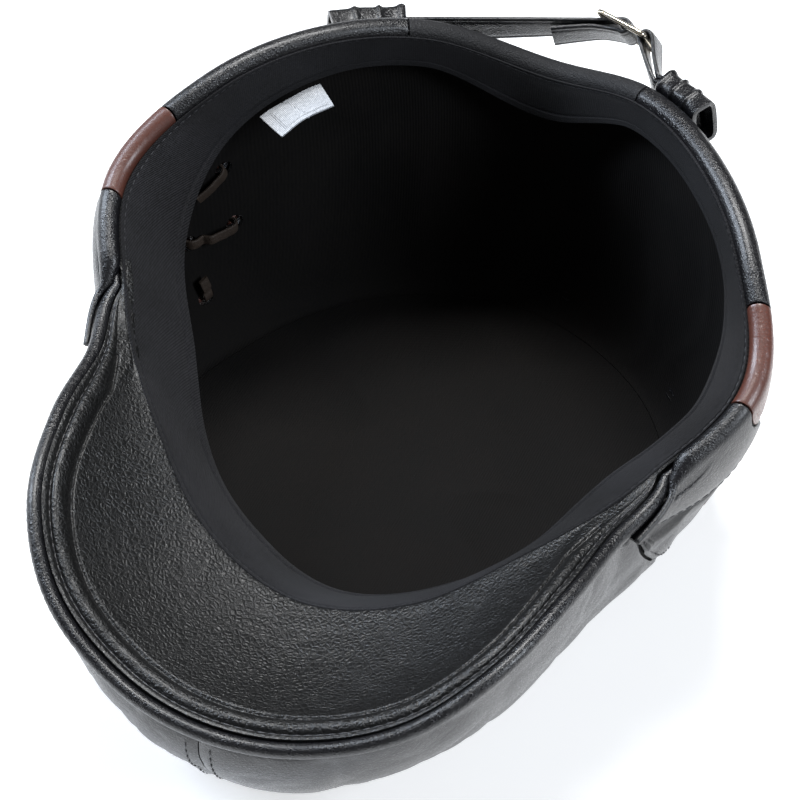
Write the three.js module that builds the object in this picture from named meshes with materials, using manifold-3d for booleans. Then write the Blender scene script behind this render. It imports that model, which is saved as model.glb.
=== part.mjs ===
/*
 * A leather newsboy cap, lying upside down on its crown with the head opening up.
 * Millimetres, +Z up, the brim towards -Y and the back strap towards +Y.
 *
 * Most pieces are sheets of leather or cloth that run round one upright line, the cap's centre line.
 * A place on the cap is an angle round that line (0 at the front, positive to +X), a reach out from it
 * and a height above the table.
 */
import * as THREE from 'three';
import Module from 'manifold-3d';

// Driving sizes
const HEAD_CIRCUMFERENCE = 575;
const CROWN_DEPTH = 117;
const BRIM_DEPTH = 60;
const BAND_HEIGHT = 26;
const LOOP_BAND_HEIGHT = 9;

// Thickness of each material, and the gap that sewn pieces keep
const LEATHER = 1.4;
const LINING_CLOTH = 0.9;
const SWEATBAND_CLOTH = 1.2;
const LABEL_CLOTH = 0.8;
const BRIM_BOARD = 3.2;
const PIPING_RADIUS = 2.2;
const SEAM_GAP = 0.3;
const BAND_GAP = 0.6;

// Brim: the padded ridge inside the piping, and how far the panel sinks between ridge and head
const RIDGE_HEIGHT = 1.3;
const RIDGE_WIDTH = 6;
const PANEL_SINK = 2;

// Side patch and its lace
const PATCH_HALF_WIDTH = 14;
const LACE_HOLE_RADIUS = 3;
const LACE_HOLE_SIDES = 8;
const LACE_WIDTH = 4.2;
const LACE_THICKNESS = 1;
const LACE_ARCH = 3;
const LACE_SLACK = 1.3;

// Back strap, its loops and its buckle
const STRAP_WIDTH = 12;
const STRAP_THICKNESS = 1.6;
const STRAP_CLEARANCE = 0.8;
const LOOP_RIB = 0.8;
const BUCKLE_WIRE_RADIUS = 0.9;
const BUCKLE_PITCH = 8.4;
const BUCKLE_ANGLE = 170;
const BUCKLE_STAND = 10;
const BUCKLE_LIFT = 5;
const BUCKLE_LEAN = 33;
const BUCKLE_TURN = -14.6;
const STRAP_TAIL = 14;

// Label
const LABEL_LENGTH = 21;
const LABEL_WIDTH = 12;

// Sizes that follow
const HEAD_RADIUS = HEAD_CIRCUMFERENCE / (2 * Math.PI);
const RIM_STACK = 3 * BAND_GAP + 2 * LEATHER + LINING_CLOTH;
const ROLL_ROOM = 1;
const BRIM_ROOM = PIPING_RADIUS + 6 * SEAM_GAP + BRIM_BOARD / 2;
const LOOP_PASSAGE_HEIGHT = STRAP_WIDTH + 2 * STRAP_CLEARANCE;
const LOOP_PASSAGE_DEPTH = 2 * STRAP_THICKNESS + SEAM_GAP + 2 * STRAP_CLEARANCE;
const LOOP_STAND = 2 * BAND_GAP + 2 * LEATHER + LOOP_RIB + LOOP_PASSAGE_DEPTH / 2;

/*
 * The cap's form, a row for each station round it; L and R columns are for the left and right side.
 * Reaches are shares of the head's radius and heights are shares of the crown's depth.
 */
// The seam at the head opening
const RIM = [
  { angle: 0, reach: 0.93, high: 0.44 },
  { angle: 22.5, reach: 0.91, high: 0.49 },
  { angle: 45, reach: 0.89, high: 0.61 },
  { angle: 72, reach: 0.95, high: 0.73 },
  { angle: 92, reach: 1.05, high: 0.84 },
  { angle: 112.5, reach: 0.97, high: 0.96 },
  { angle: 135, reach: 0.93, high: 1.0 },
  { angle: 157.5, reach: 0.96, high: 0.96 },
  { angle: 180, reach: 1.02, high: 0.85 },
];

// The wall under it: bulge, belly and foot shape it down to the crown's flat that lies on the table
const WALL = [
  { angle: 0, bulgeL: 0.94, bulgeR: 0.94, bulgeHigh: 0.22, bellyL: 0.83, bellyR: 0.83, footL: 0.68, footR: 0.68 },
  { angle: 22.5, bulgeL: 0.94, bulgeR: 0.92, bulgeHigh: 0.26, bellyL: 0.87, bellyR: 0.83, footL: 0.72, footR: 0.66 },
  { angle: 45, bulgeL: 1.01, bulgeR: 0.92, bulgeHigh: 0.34, bellyL: 1.0, bellyR: 0.84, footL: 0.83, footR: 0.68 },
  { angle: 72, bulgeL: 1.16, bulgeR: 1.0, bulgeHigh: 0.45, bellyL: 1.15, bellyR: 0.86, footL: 0.94, footR: 0.7 },
  { angle: 92, bulgeL: 1.26, bulgeR: 1.1, bulgeHigh: 0.47, bellyL: 1.14, bellyR: 0.9, footL: 0.94, footR: 0.72 },
  { angle: 112.5, bulgeL: 1.12, bulgeR: 1.1, bulgeHigh: 0.52, bellyL: 1.08, bellyR: 1.02, footL: 0.9, footR: 0.83 },
  { angle: 135, bulgeL: 1.13, bulgeR: 1.09, bulgeHigh: 0.55, bellyL: 1.08, bellyR: 1.06, footL: 0.9, footR: 0.88 },
  { angle: 157.5, bulgeL: 1.14, bulgeR: 1.13, bulgeHigh: 0.53, bellyL: 1.11, bellyR: 1.1, footL: 0.91, footR: 0.9 },
  { angle: 180, bulgeL: 1.17, bulgeR: 1.17, bulgeHigh: 0.49, bellyL: 1.12, bellyR: 1.12, footL: 0.92, footR: 0.92 },
];

// The sweatband's free edge
const SWEAT = [
  { angle: 0, reachL: 0.69, reachR: 0.69, highL: 0.25, highR: 0.25 },
  { angle: 22.5, reachL: 0.69, reachR: 0.69, highL: 0.3, highR: 0.3 },
  { angle: 45, reachL: 0.71, reachR: 0.72, highL: 0.37, highR: 0.4 },
  { angle: 72, reachL: 0.74, reachR: 0.77, highL: 0.5, highR: 0.58 },
  { angle: 92, reachL: 0.86, reachR: 0.92, highL: 0.67, highR: 0.72 },
  { angle: 112.5, reachL: 0.93, reachR: 0.955, highL: 0.81, highR: 0.82 },
  { angle: 135, reachL: 0.93, reachR: 0.94, highL: 0.89, highR: 0.88 },
  { angle: 157.5, reachL: 0.95, reachR: 0.955, highL: 0.87, highR: 0.87 },
  { angle: 180, reachL: 1.0, reachR: 1.0, highL: 0.72, highR: 0.72 },
];

/*
 * The front, a row for each station. Every column is a share of the brim's depth: how far the brim
 * stands out and rises from the rim, and how far the crown's front stands out from the lining's wall.
 */
const FRONT = [
  { angle: 0, brim: 1.0, rise: 0.25, bulge: 1.06, bulgeRise: 0.3, belly: 0.73, foot: 0.5 },
  { angle: 11, brim: 0.98, rise: 0.25, bulge: 1.03, bulgeRise: 0.3, belly: 0.67, foot: 0.45 },
  { angle: 22, brim: 0.93, rise: 0.3, bulge: 0.86, bulgeRise: 0.3, belly: 0.52, foot: 0.38 },
  { angle: 33, brim: 0.77, rise: 0.34, bulge: 0.65, bulgeRise: 0.27, belly: 0.37, foot: 0.28 },
  { angle: 45, brim: 0.5, rise: 0.25, bulge: 0.39, bulgeRise: 0.22, belly: 0.22, foot: 0.17 },
  { angle: 58, brim: 0.24, rise: 0.08, bulge: 0.13, bulgeRise: 0.08, belly: 0.08, foot: 0.07 },
  { angle: 70, brim: 0.13, rise: 0.0, bulge: 0.0, bulgeRise: 0.0, belly: 0.0, foot: 0.0 },
  { angle: 80, brim: 0.0, rise: 0.0, bulge: 0.0, bulgeRise: 0.0, belly: 0.0, foot: 0.0 },
];

// Dents and folds in the crown's wall: where they are (angle, and level from rim 0 to table 1),
// how deep as a share of the crown's depth, and how far they spread
const FOLDS = [
  { angle: -79, level: 0.24, depth: 0.03, wide: 12, high: 0.22 },
  { angle: -100, level: 0.45, depth: 0.012, wide: 10, high: 0.3 },
  { angle: -66, level: 0.5, depth: 0.026, wide: 9, high: 0.2 },
  { angle: -128, level: 0.5, depth: 0.022, wide: 9, high: 0.25 },
  { angle: -158, level: 0.55, depth: 0.02, wide: 10, high: 0.22 },
  { angle: 176, level: 0.6, depth: 0.02, wide: 11, high: 0.2 },
  { angle: 146, level: 0.45, depth: 0.022, wide: 9, high: 0.25 },
  { angle: 84, level: 0.42, depth: 0.018, wide: 13, high: 0.12 },
  { angle: 58, level: 0.5, depth: 0.016, wide: 12, high: 0.14 },
];

// The seam between side walls and top: how far down the wall it runs
const TOP_SEAM = [
  { angle: 62, level: 0.0 },
  { angle: 72, level: 0.32 },
  { angle: 86, level: 0.62 },
  { angle: 104, level: 0.74 },
  { angle: 180, level: 0.76 },
];

// The brown patch's middle line, from the rim down; depth is a share of the crown's depth
const PATCH_LINE = [
  { depth: 0.0, angle: 96 },
  { depth: 0.06, angle: 97 },
  { depth: 0.3, angle: 109 },
  { depth: 0.55, angle: 111.5 },
  { depth: 0.85, angle: 113 },
];
const PATCH_DEPTH = 0.8;

// Punched lace holes in the order the lace takes them; column is a share of the patch's half width
const LACE_HOLES = [
  { depth: 0.34, column: 0.6 },
  { depth: 0.52, column: -0.6 },
  { depth: 0.57, column: 0.6 },
  { depth: 0.745, column: -0.55 },
];

// Where pieces start and end round the rim
const WING_ANGLE = 70.5;
const FRONT_BAND_ANGLE = 72.5;
const LINING_SEAM_ANGLE = 90;
const LABEL_ANGLE = -127;

// Strap loops: the angle of the end that the strap leaves, how long a loop is and how far its middle
// lies below the rim
const LOOPS = {
  L: { mouth: 153, length: 24, drop: 11 },
  R: { mouth: 158, length: 20, drop: 6 },
};

const radians = THREE.MathUtils.degToRad;
const degrees = THREE.MathUtils.radToDeg;
const lerp = THREE.MathUtils.lerp;
const smoothstep = THREE.MathUtils.smoothstep;
const range = (count) => Array.from({ length: count }, (_, i) => i);
const spread = (from, to, steps) => range(steps + 1).map((i) => lerp(from, to, i / steps));

// Reads a column of a table at any place, smoothly, level at both ends
function read(table, key, column, place) {
  const last = table.length - 1;
  if (place <= table[0][key]) return table[0][column];
  if (place >= table[last][key]) return table[last][column];
  const i = table.findIndex((row) => row[key] > place) - 1;
  const slope = (k) => {
    if (k === 0 || k === last) return 0;
    return (table[k + 1][column] - table[k - 1][column]) / (table[k + 1][key] - table[k - 1][key]);
  };
  const width = table[i + 1][key] - table[i][key];
  const t = (place - table[i][key]) / width;
  const rise = t * t * (3 - 2 * t);
  const ease = t * (1 - t);
  return lerp(table[i][column], table[i + 1][column], rise)
    + width * ease * ((1 - t) * slope(i) - t * slope(i + 1));
}

// A place on the cap as a point
function place(angle, reach, height) {
  const turn = radians(angle);
  return new THREE.Vector3(reach * Math.sin(turn), -reach * Math.cos(turn), height);
}

// The same angle between -180 and 180
const signed = (angle) => THREE.MathUtils.euclideanModulo(angle + 180, 360) - 180;
const fromFront = (angle) => Math.abs(signed(angle));

const onSide = (angle) => (signed(angle) < 0 ? 'L' : 'R');

const station = (angle, table, column) => read(table, 'angle', column, fromFront(angle));
const front = (angle, column) => BRIM_DEPTH * station(angle, FRONT, column);
const rimReach = (angle) => HEAD_RADIUS * station(angle, RIM, 'reach');
const rimHeight = (angle) => CROWN_DEPTH * station(angle, RIM, 'high');

// How far the crown's raw top edge lies below the rim: under the brim, or inside the rolled band
function edgeDrop(angle) {
  return lerp(BRIM_ROOM, ROLL_ROOM, smoothstep(fromFront(angle), WING_ANGLE + 5, WING_ANGLE + 12));
}

// The crown's outer surface at a level: 0 at its top edge, 1 where it meets the table, 2 at the middle.
// reachFront is 1 for the crown, which runs out under the brim, and 0 for the wall that the lining follows.
function wall(angle, level, reachFront) {
  const side = onSide(angle);
  const lip = reachFront * smoothstep(-fromFront(angle), -WING_ANGLE, -WING_ANGLE + 12);
  const topReach = rimReach(angle) + Math.max(lip * front(angle, 'brim') - PIPING_RADIUS, RIM_STACK);
  const topHeight = rimHeight(angle) - edgeDrop(angle) + lip * front(angle, 'rise');
  const bulge = HEAD_RADIUS * station(angle, WALL, 'bulge' + side) + reachFront * front(angle, 'bulge');
  const bulgeHeight = CROWN_DEPTH * station(angle, WALL, 'bulgeHigh') + reachFront * front(angle, 'bulgeRise');
  const belly = HEAD_RADIUS * station(angle, WALL, 'belly' + side) + reachFront * front(angle, 'belly');
  const foot = HEAD_RADIUS * station(angle, WALL, 'foot' + side) + reachFront * front(angle, 'foot');
  if (level >= 1) return new THREE.Vector2(foot * (2 - level), 0);
  const back = 1 - level;
  const reach = back ** 3 * topReach + 3 * back * back * level * bulge
    + 3 * back * level * level * belly + level ** 3 * foot;
  const height = back ** 3 * topHeight + 3 * back * back * level * bulgeHeight;
  return new THREE.Vector2(reach - foldDepth(angle, level), height);
}

function foldDepth(angle, level) {
  let depth = 0;
  for (const fold of FOLDS) {
    const apart = fromFront(angle - fold.angle) / fold.wide;
    const down = (level - fold.level) / fold.high;
    depth += CROWN_DEPTH * fold.depth * Math.exp(-apart * apart - down * down);
  }
  return depth * smoothstep(1 - level, 0, 0.2) * smoothstep(level, 0, 0.12);
}

// Moves each point of a path in the reach-height plane across it, to the left of its direction
function offsetPath(path, distance) {
  return path.map((point, i) => {
    const before = path[Math.max(i - 1, 0)];
    const after = path[Math.min(i + 1, path.length - 1)];
    const along = new THREE.Vector2().subVectors(after, before).normalize();
    return new THREE.Vector2(point.x - distance * along.y, point.y + distance * along.x);
  });
}

// The wall's path at an angle between two levels, moved inward by inset (outward where it is negative)
function wallPath(angle, levels, inset, reachFront) {
  const nudge = 0.004;
  return levels.map((level) => {
    const here = wall(angle, level, reachFront);
    const above = wall(angle, Math.max(level - nudge, 0), reachFront);
    const below = wall(angle, Math.min(level + nudge, 2), reachFront);
    const along = new THREE.Vector2().subVectors(below, above).normalize();
    const out = level >= 1 ? new THREE.Vector2(0, -1) : new THREE.Vector2(-along.y, along.x);
    if (out.x < 0) out.negate();
    if (level >= 2) return new THREE.Vector2(0, inset);
    return here.addScaledVector(out, -inset);
  });
}

// The level at which the wall lies so far below its rim
function levelAtDepth(angle, depth) {
  const target = rimHeight(angle) - depth;
  let low = 0;
  let high = 1;
  for (let i = 0; i < 24; i += 1) {
    const middle = (low + high) / 2;
    if (wall(angle, middle, 0).y > target) low = middle;
    else high = middle;
  }
  return (low + high) / 2;
}

// A place on the wall at a depth below the rim, standing out from the crown's surface
function onWall(angle, depth, out) {
  const point = wallPath(angle, [levelAtDepth(angle, depth)], -out, 0)[0];
  return place(angle, point.x, point.y);
}

// Collects triangles, sharing points that coincide
class Surface {
  constructor() {
    this.points = [];
    this.index = [];
    this.known = new Map();
  }

  point(p) {
    const key = [p.x, p.y, p.z].map((value) => Math.round(value * 1e4)).join();
    if (!this.known.has(key)) {
      this.known.set(key, this.points.length / 3);
      this.points.push(p.x, p.y, p.z);
    }
    return this.known.get(key);
  }

  triangle(a, b, c) {
    const corners = [this.point(a), this.point(b), this.point(c)];
    if (new Set(corners).size === 3) this.index.push(...corners);
  }

  quad(a, b, c, d) {
    this.triangle(a, b, c);
    this.triangle(a, c, d);
  }

  geometry() {
    const geometry = new THREE.BufferGeometry();
    const index = volumeOf(this.points, this.index) < 0 ? this.index.toReversed() : this.index;
    geometry.setAttribute('position', new THREE.Float32BufferAttribute(this.points, 3));
    geometry.setIndex(index);
    return geometry;
  }
}

function volumeOf(points, index) {
  const corner = (i) => new THREE.Vector3().fromArray(points, 3 * i);
  let sum = 0;
  for (let i = 0; i < index.length; i += 3) {
    sum += corner(index[i]).dot(corner(index[i + 1]).cross(corner(index[i + 2])));
  }
  return sum / 6;
}

// A closed sheet from the rows of points on its two faces. It may close round on itself along its rows
// (closed) or along its columns (tube).
function sheet(outer, inner, { closed = false, tube = false } = {}) {
  const surface = new Surface();
  const rows = outer.length;
  const columns = outer[0].length;
  const rowSteps = closed ? rows : rows - 1;
  const columnSteps = tube ? columns : columns - 1;
  for (const i of range(rowSteps)) {
    const next = (i + 1) % rows;
    for (const j of range(columnSteps)) {
      const beside = (j + 1) % columns;
      surface.quad(outer[i][j], outer[next][j], outer[next][beside], outer[i][beside]);
      surface.quad(inner[i][j], inner[i][beside], inner[next][beside], inner[next][j]);
    }
    if (!tube) {
      const end = columns - 1;
      surface.quad(outer[i][0], inner[i][0], inner[next][0], outer[next][0]);
      surface.quad(outer[i][end], outer[next][end], inner[next][end], inner[i][end]);
    }
  }
  if (!closed) {
    const end = rows - 1;
    for (const j of range(columnSteps)) {
      const beside = (j + 1) % columns;
      surface.quad(outer[0][j], outer[0][beside], inner[0][beside], inner[0][j]);
      surface.quad(outer[end][j], inner[end][j], inner[end][beside], outer[end][beside]);
    }
  }
  return surface.geometry();
}

// A closed solid through rings of points, with flat ends unless it closes on itself
function loft(rings, closed = false) {
  const surface = new Surface();
  const sides = rings[0].length;
  const steps = closed ? rings.length : rings.length - 1;
  for (const i of range(steps)) {
    const next = rings[(i + 1) % rings.length];
    for (const j of range(sides)) {
      const beside = (j + 1) % sides;
      surface.quad(rings[i][j], rings[i][beside], next[beside], next[j]);
    }
  }
  if (!closed) {
    const first = rings[0];
    const last = rings[rings.length - 1];
    for (let j = 1; j < sides - 1; j += 1) {
      surface.triangle(first[0], first[j + 1], first[j]);
      surface.triangle(last[0], last[j], last[j + 1]);
    }
  }
  return surface.geometry();
}

// A sheet whose faces are given as paths in the reach-height plane at each angle
function turnedSheet(angles, outerPath, innerPath, options) {
  const points = (path) => angles.map((angle) => path(angle).map((p) => place(angle, p.x, p.y)));
  return sheet(points(outerPath), points(innerPath), options);
}

// The places where the cap's walls have their points, so that walls inside one another fit
const AROUND_STEP = 9;
const AROUND = range(360 / AROUND_STEP).map((i) => -180 + i * AROUND_STEP);
const LEVELS = [0, 0.11, 0.23, 0.36, 0.5, 0.66, 0.83, 1];
function aroundBetween(from, to, step) {
  const inside = range(360 / step).map((i) => i * step).filter((angle) => angle > from + 1 && angle < to - 1);
  return [from, ...inside, to];
}

// Solids for cutting
const library = await Module();
library.setup();

function toSolid(geometry) {
  const mesh = new library.Mesh({
    numProp: 3,
    vertProperties: new Float32Array(geometry.getAttribute('position').array),
    triVerts: new Uint32Array(geometry.getIndex().array),
  });
  return new library.Manifold(mesh);
}

function fromSolid(solid) {
  const mesh = solid.getMesh();
  const geometry = new THREE.BufferGeometry();
  geometry.setAttribute('position', new THREE.BufferAttribute(new Float32Array(mesh.vertProperties), 3));
  geometry.setIndex(new THREE.BufferAttribute(new Uint32Array(mesh.triVerts), 1));
  return geometry;
}

// Patch and lace places on the wall
const patchAngle = (depth) => read(PATCH_LINE, 'depth', 'angle', depth / CROWN_DEPTH);
const patchSpread = (depth) => degrees(PATCH_HALF_WIDTH / onWallReach(patchAngle(depth), depth));

function onWallReach(angle, depth) {
  const reach = depth > ROLL_ROOM ? wall(angle, levelAtDepth(angle, depth), 0).x : rimReach(angle) + RIM_STACK;
  return reach;
}

function laceHole(side, hole) {
  const depth = hole.depth * CROWN_DEPTH;
  const angle = side * (patchAngle(depth) + hole.column * patchSpread(depth));
  const middle = onWall(angle, depth, 0);
  const out = onWall(angle, depth, 1).sub(middle).normalize();
  return { angle, depth, middle, out };
}

// Punches one side's lace holes
function punch(geometry, sides) {
  let solid = toSolid(geometry);
  const reach = 8 * LEATHER;
  for (const side of sides) {
    for (const row of LACE_HOLES) {
      const hole = laceHole(side, row);
      const turn = new THREE.Quaternion().setFromUnitVectors(new THREE.Vector3(0, 1, 0), hole.out);
      const drill = new THREE.CylinderGeometry(LACE_HOLE_RADIUS, LACE_HOLE_RADIUS, 2 * reach, LACE_HOLE_SIDES);
      drill.applyQuaternion(turn);
      drill.translate(hole.middle.x, hole.middle.y, hole.middle.z);
      solid = solid.subtract(toSolid(weld(drill)));
    }
  }
  return fromSolid(solid);
}

// Merges the points of a library shape so that it is one closed surface
function weld(geometry) {
  const surface = new Surface();
  const position = geometry.getAttribute('position');
  const index = geometry.getIndex();
  const corner = (i) => new THREE.Vector3().fromBufferAttribute(position, index.getX(i));
  for (let i = 0; i < index.count; i += 3) {
    surface.triangle(corner(i), corner(i + 1), corner(i + 2));
  }
  return surface.geometry();
}

// Crown
const seamLevel = (angle) => read(TOP_SEAM, 'angle', 'level', fromFront(angle));

// The crown's wall between two angles, before it is cut along its seams
function crownShell(angles, closed) {
  return toSolid(turnedSheet(
    angles,
    (angle) => wallPath(angle, LEVELS, 0, 1),
    (angle) => wallPath(angle, LEVELS, LEATHER, 1),
    { closed },
  ));
}

// A flat panel inside a wall's foot, with its underside at a height above the table
function flatPanel(height, thickness, reachFront) {
  const path = (lift) => (angle) => [
    new THREE.Vector2(wall(angle, 1, reachFront).x - SEAM_GAP, lift),
    new THREE.Vector2(0, lift),
  ];
  return turnedSheet(AROUND, path(height), path(height + thickness), { closed: true });
}

// Everything above the seam between top and side on one side of the cap, from an angle to another
function aboveSeam(side, from, to, gap) {
  const seamHeight = (angle) => wall(side * angle, seamLevel(angle), 1).y;
  const low = (angle) => {
    const slope = (seamHeight(angle + 1) - seamHeight(angle - 1)) / (2 * radians(1) * HEAD_RADIUS);
    return seamHeight(angle) + gap * Math.hypot(1, slope);
  };
  const high = 2 * CROWN_DEPTH;
  const path = (reach) => (angle) => [low(angle), high].map((height) => new THREE.Vector2(reach, height));
  const angles = aroundBetween(from, to, AROUND_STEP / 2);
  const points = (reach) => angles.map((angle) => path(reach)(angle).map((p) => place(side * angle, p.x, p.y)));
  return toSolid(sheet(points(2 * HEAD_RADIUS), points(0.3 * HEAD_RADIUS)));
}

const seamStart = TOP_SEAM[0].angle;
const gapAngle = degrees(SEAM_GAP / HEAD_RADIUS);

const crownTop = () => flatPanel(0, LEATHER, 1);

// One half of the crown's front and lower wall, from the front seam round to the back seam
function crownWall(side) {
  const angles = aroundBetween(gapAngle, 180 - gapAngle, AROUND_STEP).map((angle) => side * angle);
  const rising = side < 0 ? angles.toReversed() : angles;
  return fromSolid(crownShell(rising, false).subtract(aboveSeam(side, seamStart, 181, 0)));
}

function crownSide(side) {
  const shell = crownShell(AROUND, true);
  const sideWall = shell.intersect(aboveSeam(side, seamStart + gapAngle, 180 - gapAngle / 2, 2 * SEAM_GAP));
  return punch(fromSolid(sideWall), [side]);
}

const liningFace = LEATHER + BAND_GAP;
const liningTop = () => flatPanel(liningFace, LINING_CLOTH, 0);

// A panel of the lining's wall between two angles, just short of the seams at its ends
function liningPanel(from, to, sides) {
  const inside = AROUND.filter((angle) => angle > from + 1 && angle < to - 1);
  const panel = turnedSheet(
    [from + gapAngle / 2, ...inside, to - gapAngle / 2],
    (angle) => wallPath(angle, LEVELS, liningFace, 0),
    (angle) => wallPath(angle, LEVELS, liningFace + LINING_CLOTH, 0),
  );
  return punch(panel, sides);
}

// Sweatband: from the rim seam down and in to its free edge
function sweatbandPath(angle) {
  const top = new THREE.Vector2(rimReach(angle), rimHeight(angle) + SEAM_GAP);
  const side = onSide(angle);
  const low = new THREE.Vector2(
    HEAD_RADIUS * station(angle, SWEAT, 'reach' + side),
    CROWN_DEPTH * station(angle, SWEAT, 'high' + side),
  );
  const belly = 0.06;
  return spread(0, 1, 2).map((t) => {
    const point = new THREE.Vector2().lerpVectors(top, low, t);
    point.y += belly * t * (1 - t) * CROWN_DEPTH;
    return point;
  });
}

function sweatband() {
  return turnedSheet(
    AROUND,
    (angle) => sweatbandPath(angle),
    (angle) => offsetPath(sweatbandPath(angle), -SWEATBAND_CLOTH),
    { closed: true },
  );
}

function sizeLabel() {
  const edge = (angle) => sweatbandPath(angle).at(-1);
  const half = degrees(LABEL_LENGTH / 2 / edge(LABEL_ANGLE).x);
  const start = SWEATBAND_CLOTH + 2.5 * SEAM_GAP;
  const face = (angle, lift) => spread(start, start + LABEL_WIDTH, 3).map((inward) => {
    const rise = 0.12 * inward;
    return new THREE.Vector2(edge(angle).x - inward, edge(angle).y + rise + lift);
  });
  return turnedSheet(
    spread(LABEL_ANGLE - half, LABEL_ANGLE + half, 4),
    (angle) => face(angle, LABEL_CLOTH / 2),
    (angle) => face(angle, -LABEL_CLOTH / 2),
  );
}

// Brim
const brimAngles = spread(-WING_ANGLE, WING_ANGLE, 24);
const brimEdgeReach = (angle) => rimReach(angle) + front(angle, 'brim');
const brimEdgeHeight = (angle) => rimHeight(angle) + front(angle, 'rise');

function brimPath(angle) {
  const inner = rimReach(angle) + SEAM_GAP;
  const outer = brimEdgeReach(angle) - 2 * PIPING_RADIUS - SEAM_GAP;
  const width = outer - inner;
  const ridge = Math.min(RIDGE_WIDTH / width, 0.45);
  const shares = [0, 0.25, 0.5, 0.75, 1].map((share) => share * (1 - 1.6 * ridge));
  const point = (share, lift) => new THREE.Vector2(
    inner + share * width,
    lerp(rimHeight(angle), brimEdgeHeight(angle), share) + lift,
  );
  const sink = PANEL_SINK * Math.min(width / BRIM_DEPTH, 1);
  const panel = shares.map((share, i) => point(share, -4 * sink * (i / 4) * (1 - i / 4)));
  const ridgeLift = RIDGE_HEIGHT * Math.min(width / (3 * RIDGE_WIDTH), 1);
  return [...panel, point(1 - 0.8 * ridge, ridgeLift), point(1 - 0.35 * ridge, ridgeLift), point(1, 0)];
}

function brim() {
  return turnedSheet(
    brimAngles,
    (angle) => brimPath(angle),
    (angle) => brimPath(angle).map((p) => new THREE.Vector2(p.x, Math.min(p.y, brimLine(angle, p.x)) - BRIM_BOARD)),
  );
}

// The straight line from rim to brim edge, which the brim's hidden face follows over its ridge
function brimLine(angle, reach) {
  const share = (reach - rimReach(angle)) / front(angle, 'brim');
  return lerp(rimHeight(angle), brimEdgeHeight(angle), share);
}

function brimPiping() {
  const rings = brimAngles.map((angle) => {
    const reach = brimEdgeReach(angle) - PIPING_RADIUS;
    const height = brimEdgeHeight(angle) - BRIM_BOARD / 2;
    return range(6).map((i) => {
      const turn = (i / 6) * 2 * Math.PI;
      return place(angle, reach + PIPING_RADIUS * Math.cos(turn), height + PIPING_RADIUS * Math.sin(turn));
    });
  });
  return loft(rings);
}

// Rolled leather over the rim: the path starts inside the opening, turns over the edge and goes down
// the outside of the crown by the depths given
function rollPath(angle, depths) {
  const base = rimReach(angle);
  const height = rimHeight(angle);
  const innerReach = base + BAND_GAP + LEATHER / 2;
  const outerReach = base + RIM_STACK + BAND_GAP + LEATHER / 2;
  const middle = (innerReach + outerReach) / 2;
  const radius = (outerReach - innerReach) / 2;
  const turned = spread(Math.PI, 0, 4).map((turn) => new THREE.Vector2(
    middle + radius * Math.cos(turn),
    height + radius * Math.sin(turn),
  ));
  const hem = new THREE.Vector2(innerReach, height - LEATHER / 2);
  const outside = depths.map((depth) => {
    const level = levelAtDepth(angle, depth);
    return wallPath(angle, [level], -(BAND_GAP + LEATHER / 2), 0)[0];
  });
  return [hem, ...turned, ...outside];
}

// A rolled piece on one side between two edges; each edge gives the angle at a depth below the rim
function rolledPiece(side, startEdge, endEdge, step, depthsAt) {
  const rows = aroundBetween(startEdge(0), endEdge(0), step).map((rimAngle) => {
    const share = (rimAngle - startEdge(0)) / (endEdge(0) - startEdge(0));
    const depths = depthsAt(rimAngle);
    const atRim = rollPath(side * rimAngle, []);
    const anglesDown = depths.map((depth) => side * lerp(startEdge(depth), endEdge(depth), share));
    const path = [...atRim, ...depths.map((depth, i) => rollPath(anglesDown[i], [depth]).at(-1))];
    const angles = [...atRim.map(() => side * rimAngle), ...anglesDown];
    return { path, angles };
  });
  const face = (distance) => rows.map(({ path, angles }) => (
    offsetPath(path, distance).map((p, j) => place(angles[j], p.x, p.y))
  ));
  return sheet(face(LEATHER / 2), face(-LEATHER / 2));
}

const bandDepths = (height) => [0.25, 0.5, 0.75, 1].map((share) => share * height);
const backBandHeight = (angle) => lerp(BAND_HEIGHT, LOOP_BAND_HEIGHT, smoothstep(fromFront(angle), 122, 146));
const patchEdge = (depth, way, gap) => {
  const reach = onWallReach(patchAngle(depth), depth);
  return patchAngle(depth) + way * degrees((PATCH_HALF_WIDTH + gap) / reach);
};
const edgeGap = 2 * SEAM_GAP;

function rimBandFront(side) {
  return rolledPiece(
    side,
    () => FRONT_BAND_ANGLE,
    (depth) => patchEdge(depth, -1, edgeGap),
    AROUND_STEP / 4,
    () => bandDepths(BAND_HEIGHT),
  );
}

function rimBandBack(side) {
  return rolledPiece(
    side,
    (depth) => patchEdge(depth, 1, edgeGap),
    () => LOOPS[onSide(side)].mouth,
    AROUND_STEP / 2,
    (angle) => bandDepths(backBandHeight(angle)),
  );
}

function sidePatch(side) {
  const middleAngle = side * patchAngle(CROWN_DEPTH / 2);
  const toDepth = (level) => rimHeight(middleAngle) - wall(middleAngle, level, 0).y;
  const bottom = PATCH_DEPTH * CROWN_DEPTH;
  const below = LEVELS.map(toDepth).filter((depth) => depth > 1.2 * BAND_HEIGHT && depth < 0.95 * bottom);
  const patch = rolledPiece(
    side,
    (depth) => patchEdge(depth, -1, 0),
    (depth) => patchEdge(depth, 1, 0),
    AROUND_STEP / 2,
    () => [...bandDepths(BAND_HEIGHT), ...below, bottom],
  );
  return punch(patch, [side]);
}

function backBinding() {
  const gap = degrees(edgeGap / HEAD_RADIUS);
  return rolledPiece(
    1,
    () => LOOPS.R.mouth + gap,
    () => 360 - LOOPS.L.mouth - gap,
    AROUND_STEP,
    () => [0.5 * LOOP_BAND_HEIGHT, LOOP_BAND_HEIGHT],
  );
}

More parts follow.
